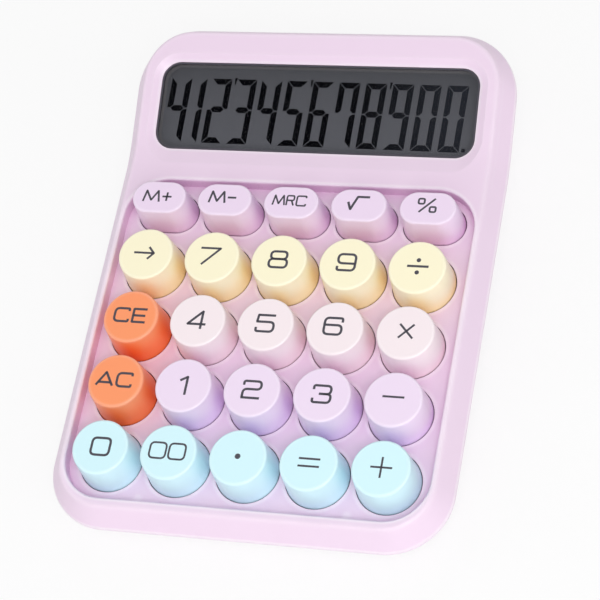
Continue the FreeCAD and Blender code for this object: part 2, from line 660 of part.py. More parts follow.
def make_top_cover():
    shell = boolean("Part::Cut", "cover_shell", make_cover_blank(), [make_cover_core()])
    under_deck = "-0.5 * sizes.deck_wall"
    under_face = "sizes.rim_height - 0.5 * sizes.face_wall"
    bosses = [
        posts("board_bosses", BOARD_SPOTS, BOSS, under_deck, "derived.board_top"),
        posts("front_bosses", CASE_FRONT, BOSS, under_deck, JOINT),
        posts("rear_bosses", CASE_REAR, BOSS, under_face, JOINT),
        posts("ear_bosses", EAR_SPOTS, "sizes.ear_radius", "0", EAR_SEAT, lay_on_display),
    ]
    small_tip = "derived.board_top + sizes.small_screw_length - sizes.board_thickness + sizes.screw_gap"
    ear_tip = EAR_SEAT + " + sizes.small_screw_length - sizes.holder_back + sizes.screw_gap"
    cutters = [
        make_window_cut(),
        posts("board_pilots", BOARD_SPOTS, SMALL_PILOT, small_tip, "derived.board_top"),
        posts("case_pilots", CASE_FRONT + CASE_REAR, PILOT, "0.9 * (%s)" % SCREW_TIP, JOINT),
        posts("ear_pilots", EAR_SPOTS, SMALL_PILOT, ear_tip, EAR_SEAT, lay_on_display),
    ]
    solid = boolean("Part::MultiFuse", "cover_solid", shell, bosses)
    return boolean("Part::Cut", "top_cover", solid, cutters)


def make_display_window():
    pane = ("derived.window_width - 2 * sizes.window_gap", "sizes.window_height - 2 * sizes.window_gap",
            "sizes.window_corner - sizes.window_gap", "-derived.pane_drop", "-sizes.face_wall")
    flange = ("derived.lcd_width", "derived.lcd_height", "derived.lcd_corner",
              "-sizes.face_wall", "-derived.lcd_drop")
    body = rounded_block("display_window", (pane, flange), lay_on_display)
    front = number("-derived.pane_drop")
    rim = edge_names(body.Tip.Shape, lambda edge: at_height(edge, front))
    fillet(body, "pane_edge", rim, "sizes.window_edge")
    relief = start_sketch(body, "pane_relief", lift="-derived.lcd_drop")
    draw_rounded(relief, "derived.window_width", "sizes.window_height", "sizes.window_corner")
    pocket(body, relief, "sizes.window_air", upward=True)
    return body


def make_lcd_panel():
    glass = ("derived.lcd_width", "derived.lcd_height", "derived.lcd_corner",
             "-derived.lcd_drop", "-derived.lcd_under")
    return rounded_block("lcd_panel", (glass,), lay_on_display)


def make_lcd_holder():
    body = make_body("lcd_holder")
    outline = start_sketch(body, "holder_outline", lift="-derived.holder_drop")
    draw_rounded(outline, "derived.holder_width", "derived.holder_height",
                 "derived.lcd_corner + sizes.holder_gap + sizes.holder_wall")
    pad(body, outline, "derived.holder_drop - sizes.face_wall")
    ears = start_sketch(body, "holder_ears", lift="-derived.holder_drop")
    ear_length = "2 * sizes.ear_radius + sizes.holder_gap + sizes.holder_wall"
    for x, y in EAR_SPOTS:
        draw_rounded(ears, "2 * sizes.ear_radius", ear_length, "0.8 * sizes.ear_radius",
                     x, y + " + (sizes.holder_gap + sizes.holder_wall) / 2")
    pad(body, ears, "sizes.holder_back")
    seat = start_sketch(body, "holder_seat", lift="-derived.lcd_under")
    gap = " + 2 * sizes.holder_gap"
    draw_rounded(seat, "derived.lcd_width" + gap, "derived.lcd_height" + gap,
                 "derived.lcd_corner + sizes.holder_gap")
    pocket(body, seat, upward=True)
    back = start_sketch(body, "holder_opening")
    sight = " - 2 * sizes.holder_sight"
    draw_rounded(back, "derived.lcd_width" + sight, "derived.lcd_height" + sight, "sizes.holder_sight / 2")
    draw_rounded(back, "sizes.ribbon_width + 4 * sizes.holder_gap", "3 * sizes.ribbon_contact",
                 "sizes.holder_wall / 2", "0", "-derived.lcd_height / 2")
    pocket(body, back)
    holes = start_sketch(body, "holder_holes")
    for x, y in EAR_SPOTS:
        draw_circle(holes, "sizes.small_screw / 2 + sizes.screw_gap", x, y)
    pocket(body, holes)
    lay_on_display(body)
    return body


# Keys
def make_round_key(label, x, y):
    body = make_body(label)
    foot, flange = "derived.key_foot / 2", "derived.hole_radius + sizes.flange_lap"
    top = "%s - sizes.key_lean" % foot
    under, low = "-sizes.deck_wall", "-sizes.deck_wall - sizes.flange_thickness"
    roof, post = "sizes.key_height - sizes.key_roof", "sizes.post_diameter / 2"
    outline = (
        ("0", "sizes.key_height"), (top, "sizes.key_height"), (foot, "0"), (foot, under),
        (flange, under), (flange, low), (foot + " - sizes.key_wall", low),
        (top + " - sizes.key_wall", roof), (post, roof), (post, low), ("0", low),
    )
    section = start_sketch(body, label + "_section", "XZ_Plane")
    draw_polygon(section, outline)
    turn = body.newObject("PartDesign::Revolution", label + "_turn")
    turn.Profile = section
    turn.ReferenceAxis = (section, ["V_Axis"])
    doc.recompute()
    height = number("sizes.key_height")
    rim = edge_names(turn.Shape, lambda edge: at_height(edge, height))
    fillet(body, label + "_edge", rim, "sizes.key_edge")
    lay_on_deck(body, x, y)


def make_oblong_key(label, x, y):
    body = make_body(label)
    length, width = "derived.key_foot", "sizes.memory_width"
    foot = start_sketch(body, label + "_foot")
    draw_stadium(foot, length, width)
    top = start_sketch(body, label + "_top", lift="sizes.key_height")
    draw_stadium(top, length + " - 2 * sizes.key_lean", width + " - 2 * sizes.key_lean")
    loft = body.newObject("PartDesign::AdditiveLoft", label + "_loft")
    loft.Profile = foot
    loft.Sections = [top]
    loft.Ruled = True
    doc.recompute()
    skirt = start_sketch(body, label + "_skirt")
    draw_stadium(skirt, length, width)
    pad(body, skirt, "sizes.deck_wall", downward=True)
    flange = start_sketch(body, label + "_flange", lift="-sizes.deck_wall")
    grow = " + 2 * (sizes.key_gap + sizes.flange_lap)"
    draw_stadium(flange, length + grow, width + grow)
    pad(body, flange, "sizes.flange_thickness", downward=True)
    hollow = start_sketch(body, label + "_hollow", lift="-sizes.deck_wall - sizes.flange_thickness")
    shrink = " - 2 * (sizes.key_lean + sizes.key_wall)"
    draw_stadium(hollow, length + shrink, width + shrink)
    draw_circle(hollow, "sizes.post_diameter / 2")
    inside = "sizes.deck_wall + sizes.flange_thickness + sizes.key_height - sizes.key_roof"
    pocket(body, hollow, inside, upward=True)
    height = number("sizes.key_height")
    rim = edge_names(body.Tip.Shape, lambda edge: at_height(edge, height))
    fillet(body, label + "_edge", rim, "sizes.key_edge")
    lay_on_deck(body, x, y)


def make_keys():
    for row, names in enumerate(ROUND_ROWS):
        for column, name in zip(COLUMNS, names):
            make_round_key("key_" + name, "%d * sizes.key_pitch" % column, "%d * sizes.key_pitch" % row)
    for column, name in zip(COLUMNS, MEMORY_ROW):
        make_oblong_key("key_" + name, "%d * sizes.key_pitch" % column, "derived.memory_row")


# Mat and board under the keys
COLUMN_X = ["%d * sizes.key_pitch" % column if column else "0" for column in COLUMNS]
ROW_Y = ["%d * sizes.key_pitch" % row if row else "0" for row in range(len(ROUND_ROWS))]
KEY_SPOTS = [(x, y) for y in ROW_Y + ["derived.memory_row"] for x in COLUMN_X]


def draw_board(sketch, trim):
    """The outline of the board and its screw holes, trimmed all round."""
    width = "4 * sizes.key_pitch + 2 * sizes.mat_border - 2 * (%s)" % trim
    height = "derived.board_back + sizes.mat_border - 2 * (%s)" % trim
    middle = "(derived.board_back - sizes.mat_border) / 2"
    draw_rounded(sketch, width, height, "sizes.mat_border / 2", "0", middle)


def make_key_mat():
    body = make_body("key_mat")
    sheet_outline = start_sketch(body, "mat_outline", lift="derived.board_top")
    draw_board(sheet_outline, "sizes.mat_thickness")
    for x, y in BOARD_SPOTS:
        draw_circle(sheet_outline, BOSS + " + sizes.holder_gap", x, y)
    pad(body, sheet_outline, "sizes.mat_thickness")
    domes = start_sketch(body, "mat_domes", lift="derived.mat_top")
    hollows = start_sketch(body, "mat_hollows", lift="derived.board_top")
    for x, y in KEY_SPOTS:
        draw_circle(domes, "sizes.dome_diameter / 2", x, y)
        draw_circle(hollows, "sizes.dome_diameter / 2 - sizes.dome_wall", x, y)
    lean = "-atan(sizes.dome_lean / derived.dome_height)"
    pad(body, domes, "derived.dome_height", taper=lean)
    inside = "derived.dome_height + sizes.mat_thickness - sizes.dome_wall"
    pocket(body, hollows, inside, upward=True, taper=lean)
    lay_on_deck(body)


def make_key_board():
    body = make_body("key_board")
    outline = start_sketch(body, "board_outline", lift="derived.board_under")
    draw_board(outline, "0")
    for x, y in BOARD_SPOTS:
        draw_circle(outline, "sizes.small_screw / 2 + sizes.screw_gap", x, y)
    pad(body, outline, "sizes.board_thickness")
    lay_on_deck(body)


def make_controller_chip():
    """A low dome of resin on the underside of the board, between the middle rows."""
    body = make_body("controller_chip")
    outline = start_sketch(body, "chip_outline", lift="derived.board_under")
    draw_circle(outline, "sizes.chip_diameter / 2", "0.5 * sizes.key_pitch", "1.5 * sizes.key_pitch")
    pad(body, outline, "sizes.chip_height", downward=True)
    low = number("derived.board_under - sizes.chip_height")
    rim = edge_names(body.Tip.Shape, lambda edge: at_height(edge, low))
    fillet(body, "chip_edge", rim, "0.9 * sizes.chip_height")
    lay_on_deck(body)


def draw_cross(sketch, span, width, x, y):
    """A cross of two bars about a middle point."""
    long, short = "(%s) / 2" % span, "(%s) / 2" % width
    quarter = ((short, long), (short, short), (long, short))
    corners = []
    for sign_x, sign_y, order in (("+", "+", 1), ("+", "-", -1), ("-", "-", 1), ("-", "+", -1)):
        for across, along in quarter[::order]:
            corners.append(("(%s) %s %s" % (x, sign_x, across), "(%s) %s %s" % (y, sign_y, along)))
    draw_polygon(sketch, corners)


def make_screws(label, spots, shank, head, head_height, seat, tip, lay=lay_on_deck):
    """Upright screws with their heads, which have a cross recess, below a seat."""
    body = make_body(label)
    heads = start_sketch(body, label + "_heads", lift=seat)
    shanks = start_sketch(body, label + "_shanks", lift=seat)
    drives = start_sketch(body, label + "_drives", lift="(%s) - %s" % (seat, head_height))
    for x, y in spots:
        draw_circle(heads, head + " / 2", x, y)
        draw_circle(shanks, shank + " / 2", x, y)
        draw_cross(drives, "0.6 * " + head, "0.16 * " + head, x, y)
    pad(body, heads, head_height, downward=True)
    pad(body, shanks, "(%s) - (%s)" % (tip, seat))
    pocket(body, drives, "0.5 * " + head_height, upward=True)
    lay(body)


def make_all_screws():
    make_screws("case_screws", CASE_FRONT + CASE_REAR, "sizes.screw_diameter", "sizes.screw_head",
                "sizes.screw_head_height", SCREW_SEAT, SCREW_TIP)
    small = ("sizes.small_screw", "sizes.small_head", "sizes.small_head_height")
    for label, spots, seat, lay in (
        ("board_screws", BOARD_SPOTS, "derived.board_under", lay_on_deck),
        ("holder_screws", EAR_SPOTS, "-derived.holder_drop", lay_on_display),
    ):
        make_screws(label, spots, *small, seat, seat + " + sizes.small_screw_length", lay)


# Bottom cover with its stand
def make_tray(label, top, bottom, inset, wall):
    """A slab with its lower edge slanted off, parallel to the tray's outer wall."""
    body = bent_slab(label, top, bottom, inset)
    height = "sizes.tray_rise - (%s)" % wall
    lean = "sizes.tray_inset * (%s) / sizes.tray_rise" % height
    slant_border(body, label + "_slant", *LEVEL_BELOW, lean, height)
    fillet(body, label + "_edge", border_edges(body.Tip.Shape, *LEVEL_BELOW), "sizes.tray_round")
    return body


def make_stand(label, inset, bottom):
    """A tapering block under the display end, in the part's frame."""
    body = make_body(label)
    low = start_sketch(body, label + "_low", lift=bottom)
    high = start_sketch(body, label + "_high", lift="derived.stand_top")
    for sketch, lean in ((low, "sizes.stand_draft"), (high, "0")):
        shrink = " - 2 * (%s + %s)" % (inset, lean)
        draw_rounded(sketch, "derived.stand_width" + shrink, "sizes.stand_length" + shrink,
                     "sizes.stand_corner - %s" % inset, "0", "derived.stand_middle")
    loft = body.newObject("PartDesign::AdditiveLoft", label + "_loft")
    loft.Profile = low
    loft.Sections = [high]
    loft.Ruled = True
    doc.recompute()
    return body


def flat(piece):
    """Leaves a piece in the part's own frame."""


FRONT_FEET = both_sides("derived.half_width - sizes.front_foot_inset", "derived.front_foot_y")
REAR_FEET = both_sides("derived.rear_foot_x", "derived.stand_back - sizes.stand_draft - sizes.foot_inset")


def make_bottom_cover():
    tray = make_tray("tray_blank", "sizes.cover_depth", "derived.tray_drop", "sizes.tray_gap", "0")
    core = make_tray("tray_core", "sizes.cover_depth - derived.tray_drop / 2",
                     "derived.tray_drop - sizes.tray_wall", "sizes.side_wall", "sizes.tray_wall")
    stand = make_stand("stand_blank", "0", "sizes.foot_height")
    hollow = make_stand("stand_core", "sizes.stand_wall", "sizes.foot_height + sizes.stand_wall")
    outer = boolean("Part::MultiFuse", "bottom_blank", tray, [stand])
    shell = boolean("Part::Cut", "bottom_shell", outer, [core, hollow])

    bed_half = "sizes.door_half_width + sizes.door_tongue + sizes.bay_wall"
    wall = "sizes.bay_wall"
    bed = box("door_bed", "-(%s)" % bed_half, bed_half, "derived.door_front - " + wall,
              "derived.door_back", "sizes.foot_height", "derived.door_top + sizes.door_gap + " + wall)
    bay = box("bay_block", "derived.bay_left - " + wall, "derived.bay_right + " + wall,
              "derived.cell_y - derived.bay_half - " + wall, "derived.cell_y + derived.bay_half + " + wall,
              "derived.door_top", "derived.bay_top + " + wall)
    sleeve_foot = "derived.tray_floor + 0.5 * sizes.tray_wall"
    sleeves = posts("sleeves", CASE_FRONT + CASE_REAR, "sizes.sleeve_diameter / 2", JOINT, sleeve_foot)
    solid = boolean("Part::MultiFuse", "bottom_solid", shell, [bed, bay, sleeves])

    gap, past = "sizes.door_gap", "derived.stand_back + sizes.stand_back_inset"
    skin = "sizes.foot_height + sizes.door_skin"
    half, tongue = "sizes.door_half_width", "sizes.door_half_width + sizes.door_tongue"
    start = "derived.door_front - " + gap
    tab = "sizes.tab_width / 2 + " + "sizes.screw_gap"
    tab_low, tab_high = "derived.bay_top", "derived.bay_top + 2 * " + wall
    slot = "sizes.contact_thickness"
    cutters = [
        box("door_mouth", "-%s - %s" % (half, gap), half + " + " + gap, start, past, "0", skin),
        box("door_rails", "-(%s) - %s" % (tongue, gap), tongue + " + " + gap, start, past,
            skin + " - " + gap, "derived.door_top + " + gap),
        box("bay", "derived.bay_left", "derived.bay_right", "derived.cell_y - derived.bay_half",
            "derived.cell_y + derived.bay_half", "sizes.foot_height", "derived.bay_top"),
        box("plate_slot", "derived.bay_right - " + slot, "derived.bay_right",
            "derived.cell_y - (%s)" % tab, "derived.cell_y + " + tab, tab_low, tab_high),
        box("leaf_slot", "derived.bay_left", "derived.bay_left + " + slot,
            "derived.cell_y - (%s)" % tab, "derived.cell_y + " + tab, tab_low, tab_high),
        posts("screw_ways", CASE_FRONT + CASE_REAR, "sizes.screw_diameter / 2 + 2 * sizes.screw_gap",
              JOINT, "derived.tray_floor"),
        posts("head_ways", CASE_FRONT + CASE_REAR, "sizes.screw_head / 2 + 2 * sizes.screw_gap",
              SCREW_SEAT, "derived.tray_floor - sizes.tray_wall"),
        posts("front_foot_seats", FRONT_FEET, "sizes.foot_diameter / 2 + sizes.foot_gap",
              "derived.front_foot_top", "0", flat),
        posts("rear_foot_seats", REAR_FEET, "sizes.foot_diameter / 2 + sizes.foot_gap",
              "derived.rear_foot_top", "0", flat),
    ]
    return boolean("Part::Cut", "bottom_cover", solid, cutters)


def make_feet():
    for end, spots, top in (("front", FRONT_FEET, "derived.front_foot_top"),
                            ("rear", REAR_FEET, "derived.rear_foot_top")):
        for side, (x, y) in zip(("left", "right"), spots):
            label = "foot_%s_%s" % (end, side)
            body = posts(label, [("0", "0")], "sizes.foot_diameter / 2", top, "0", flat)
            lower = edge_names(body.Tip.Shape, lambda edge: at_height(edge, 0))
            fillet(body, label + "_edge", lower, "sizes.foot_round")
            place(body, x, y, "0", "0")


def make_battery_door():
    skin = box("door_skin", "-sizes.door_half_width", "sizes.door_half_width", "derived.door_front",
               "derived.door_back", "sizes.foot_height", "sizes.foot_height + sizes.door_skin")
    tongue = "sizes.door_half_width + sizes.door_tongue"
    plate = box("door_plate", "-(%s)" % tongue, tongue, "derived.door_front", "derived.door_back",
                "sizes.foot_height + sizes.door_skin", "derived.door_top")
    solid = boolean("Part::MultiFuse", "door_solid", skin, [plate])
    grooves = []
    for index in range(1, 5):
        middle = "derived.door_back - %d * sizes.grip_pitch" % index
        grooves.append(box("grip_%d" % index, "-sizes.grip_width / 2", "sizes.grip_width / 2",
                           middle + " - sizes.grip_pitch / 4", middle + " + sizes.grip_pitch / 4",
                           "0", "sizes.foot_height + sizes.grip_depth"))
    return boolean("Part::Cut", "battery_door", solid, grooves)


# Battery, contacts and wiring
def make_battery_cell():
    body = make_body("battery_cell")
    section = start_sketch(body, "cell_section", "XY_Plane")
    left, right = "-sizes.cell_length / 2", "sizes.cell_length / 2"
    shoulder = right + " - sizes.nub_length"
    draw_polygon(section, (
        (left, "0"), (right, "0"), (right, "sizes.nub_diameter / 2"), (shoulder, "sizes.nub_diameter / 2"),
        (shoulder, "sizes.cell_diameter / 2"), (left, "sizes.cell_diameter / 2"),
    ))
    turn = body.newObject("PartDesign::Revolution", "cell_turn")
    turn.Profile = section
    turn.ReferenceAxis = (section, ["H_Axis"])
    doc.recompute()
    place(body, "derived.cell_x", "derived.cell_y", "derived.cell_z", "0")


def contact_plate(label, x):
    """A flat contact with a solder tab that passes through the top of the bay."""
    body = make_body(label)
    sketch = start_sketch(body, label + "_outline", "YZ_Plane", x)
    wide, thin = "sizes.contact_width / 2", "sizes.tab_width / 2"
    low, shoulder = "derived.door_top + 2 * sizes.door_gap", "derived.bay_top"
    top = "derived.bay_top + sizes.bay_wall + sizes.tab_height"
    right, left = "derived.cell_y + ", "derived.cell_y - "
    draw_polygon(sketch, (
        (left + wide, low), (right + wide, low), (right + wide, shoulder), (right + thin, shoulder),
        (right + thin, top), (left + thin, top), (left + thin, shoulder), (left + wide, shoulder),
    ))
    pad(body, sketch, "sizes.contact_thickness")
    return body


def make_contacts():
    contact_plate("contact_plate", "derived.bay_right - sizes.contact_thickness")
    spring = contact_plate("contact_spring", "derived.bay_left")
    leaf = start_sketch(spring, "leaf_profile", "XZ_Plane", "-derived.cell_y")
    sheet_metal, reach = "sizes.contact_thickness", "sizes.leaf_reach"
    root = "derived.bay_left + " + sheet_metal
    nose = root + " + " + reach
    middle, step = "derived.cell_z", "sizes.leaf_reach / 2"
    draw_polygon(leaf, (
        (root, middle + " + 2 * " + step),
        (nose, middle + " + %s / 2" % step),
        (nose, middle + " - " + step),
        (root + " + %s / 2" % step, middle + " - 2 * " + step),
        (root + " + %s / 2" % step, middle + " - 1.6 * " + step),
        (nose + " - " + sheet_metal, middle + " - 0.8 * " + step),
        (nose + " - " + sheet_metal, middle + " + 0.3 * " + step),
        (root, middle + " + 1.6 * " + step),
    ))
    pad(spring, leaf, "sizes.leaf_width", symmetric=True)


def row_point(x, y, z):
    """A point of the part's frame from formulas."""
    return Vector(number(x), number(y), number(z))


def rounded_path(points, radius):
    """A wire of straight runs through points, joined by arcs of one radius."""
    edges = []
    start = points[0]
    for previous, corner, following in zip(points, points[1:], points[2:]):
        toward, onward = (previous - corner).normalize(), (following - corner).normalize()
        half = toward.getAngle(onward) / 2
        cut = radius / math.tan(half)
        crown = corner + (toward + onward).normalize() * (radius / math.sin(half) - radius)
        leave, join = corner + toward * cut, corner + onward * cut
        edges.append(Part.LineSegment(start, leave).toShape())
        edges.append(Part.Arc(leave, crown, join).toShape())
        start = join
    edges.append(Part.LineSegment(start, points[-1]).toShape())
    return Part.Wire(edges)


def sweep(label, path, profile):
    """A bent piece of one cross-section: a shape from code, sized by the sheets."""
    piece = doc.addObject("Part::Feature", label)
    piece.Shape = path.makePipeShell([profile], True, True)


def make_leads():
    """Two wires from the solder tabs of the contacts to the underside of the board."""
    radius = "sizes.lead_diameter / 2"
    tab_z = "derived.bay_top + sizes.bay_wall + sizes.tab_height / 2"
    solder = "derived.board_under - " + radius
    for label, x in (("lead_positive", "derived.bay_right - sizes.contact_thickness - " + radius),
                     ("lead_negative", "derived.bay_left + sizes.contact_thickness + " + radius)):
        points = [
            row_point(x, "derived.cell_y + sizes.tab_width / 4", tab_z),
            row_point(x, "derived.cell_y - 2 * sizes.lead_bend", tab_z),
            row_point(x, *deck_point("derived.board_back + sizes.lead_bend / 2", solder)),
            row_point(x, *deck_point("derived.board_back - 2 * sizes.lead_bend", solder)),
        ]
        circle = Part.Circle(points[0], Vector(0, 1, 0), number(radius))
        sweep(label, rounded_path(points, number("sizes.lead_bend")), Part.Wire(circle.toShape()))


def make_lcd_ribbon():
    """The flat connector from the back of the display glass to the underside of the board."""
    half = number("sizes.ribbon_thickness / 2")
    drop = "derived.lcd_under + sizes.ribbon_thickness / 2"
    bond = "sizes.ribbon_contact - derived.lcd_height / 2"
    solder = "derived.board_under - sizes.ribbon_thickness / 2"

    def on_glass(along):
        slope = "derived.window_middle + (%s)" % along
        y = "derived.bend + (%s) * derived.rise_cos + (%s) * derived.rise_sin" % (slope, drop)
        z = "sizes.rim_height + (%s) * derived.rise_sin - (%s) * derived.rise_cos" % (slope, drop)
        return row_point("0", *deck_point(y, z))

    points = [
        row_point("0", *deck_point("derived.board_back - sizes.ribbon_contact", solder)),
        row_point("0", *deck_point("derived.board_back + sizes.ribbon_bend / 2", solder)),
        on_glass("-derived.lcd_height / 2 - sizes.ribbon_bend / 2"),
        on_glass(bond),
    ]
    along = (points[1] - points[0]).normalize()
    across = Vector(number("sizes.ribbon_width / 2"), 0, 0)
    through = across.cross(along).normalize() * half
    corners = [points[0] + across + through, points[0] - across + through,
               points[0] - across - through, points[0] + across - through]
    profile = Part.makePolygon(corners + corners[:1])
    sweep("lcd_ribbon", rounded_path(points, number("sizes.ribbon_bend")), profile)


make_top_cover()
make_display_window()
make_lcd_panel()
make_lcd_holder()
make_keys()
make_key_mat()
make_key_board()
make_controller_chip()
make_all_screws()
make_bottom_cover()
make_feet()
make_battery_door()
make_battery_cell()
make_contacts()
make_leads()
make_lcd_ribbon()
doc.recompute()

NODES = ["top_cover", "bottom_cover", "battery_door", "case_screws", "key_mat", "key_board"]
NODES += ["controller_chip", "board_screws", "display_window", "lcd_panel", "lcd_holder"]
NODES += ["holder_screws", "lcd_ribbon", "battery_cell", "contact_spring", "contact_plate"]
NODES += ["lead_positive", "lead_negative"]
NODES += ["foot_%s_%s" % (end, side) for end in ("front", "rear") for side in ("left", "right")]
NODES += ["key_" + name for row in ROUND_ROWS + (MEMORY_ROW,) for name in row]

for piece in doc.Objects:
    if {"Invalid", "Error"} & set(piece.State):
        raise RuntimeError("failed: " + piece.Label)
os.makedirs("parts", exist_ok=True)
for name in NODES:
    shape = doc.getObjectsByLabel(name)[0].Shape
    if shape.isNull() or not shape.isValid() or shape.Volume <= 0:
        raise RuntimeError("not a sound shape: " + name)
    shape.exportStep("parts/%s.step" % name)
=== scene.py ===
import json
import math

import bmesh
import bpy
from mathutils import Matrix, Vector


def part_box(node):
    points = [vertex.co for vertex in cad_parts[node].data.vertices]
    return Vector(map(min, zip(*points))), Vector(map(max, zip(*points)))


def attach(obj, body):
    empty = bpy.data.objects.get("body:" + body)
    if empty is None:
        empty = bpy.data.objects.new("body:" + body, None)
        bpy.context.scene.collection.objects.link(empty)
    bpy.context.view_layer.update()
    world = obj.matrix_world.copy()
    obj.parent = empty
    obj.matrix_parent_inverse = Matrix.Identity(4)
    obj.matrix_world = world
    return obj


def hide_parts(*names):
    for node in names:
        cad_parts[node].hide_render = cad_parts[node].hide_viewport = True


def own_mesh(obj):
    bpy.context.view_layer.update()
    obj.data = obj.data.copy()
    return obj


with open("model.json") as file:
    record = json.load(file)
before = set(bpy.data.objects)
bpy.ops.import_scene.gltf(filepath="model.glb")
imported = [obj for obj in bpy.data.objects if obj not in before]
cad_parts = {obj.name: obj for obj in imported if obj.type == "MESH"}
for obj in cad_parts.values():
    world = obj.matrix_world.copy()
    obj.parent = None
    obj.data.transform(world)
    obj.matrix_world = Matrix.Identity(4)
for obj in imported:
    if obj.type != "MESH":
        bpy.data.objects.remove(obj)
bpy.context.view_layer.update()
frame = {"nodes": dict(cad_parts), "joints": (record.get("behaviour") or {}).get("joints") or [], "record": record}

MM = 0.001
NEAR = 0.0001
NODES = frame["nodes"]
JOINTS = {joint["child"]: joint for joint in frame["joints"]}


def linear(red, green, blue):
    """A colour from its screen values."""
    def channel(value):
        value = value / 255
        return value / 12.92 if value <= 0.04045 else ((value + 0.055) / 1.055) ** 2.4
    return (channel(red), channel(green), channel(blue), 1.0)


# Frames to draw in
def key_frame(node):
    """A matrix at the middle of a key's top, its Z along the key's way out."""
    up = -Vector(JOINTS[node]["axis"]).normalized()
    right = Vector((1, 0, 0))
    back = up.cross(right)
    points = [vertex.co for vertex in NODES[node].data.vertices]
    top = max(point.dot(up) for point in points)
    low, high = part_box(node)
    rim = [point for point in points if point.dot(up) > top - NEAR / 10]
    along = [point.dot(back) for point in rim]
    centre = right * (low.x + high.x) / 2 + back * (min(along) + max(along)) / 2 + up * top
    return Matrix((right, back, up)).transposed().to_4x4(), centre


def framed(axes, centre):
    """A matrix with these axes at this point."""
    matrix = axes.copy()
    matrix.translation = centre
    return matrix


def display_frame():
    """A matrix on the front of the display glass, in the middle of it."""
    points = [vertex.co for vertex in NODES["lcd_panel"].data.vertices]
    low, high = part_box("lcd_panel")
    highest = max(points, key=lambda p: p.z)
    right = Vector((1, 0, 0))
    back_edge = max(p.y for p in points if p.z > high.z - NEAR)
    front_top = max((p for p in points if p.y < low.y + NEAR), key=lambda p: p.z)
    along = Vector((0, back_edge - front_top.y, highest.z - front_top.z)).normalized()
    up = right.cross(along)
    centre = Vector((0, (front_top.y + back_edge) / 2, (front_top.z + highest.z) / 2))
    return framed(Matrix((right, along, up)).transposed().to_4x4(), centre)


# Materials
WHITE = (1.0, 1.0, 1.0, 1.0)
BLACK = (0.0, 0.0, 0.0, 1.0)
X_AXIS, ORIGIN = (1, 0, 0), (0, 0, 0)


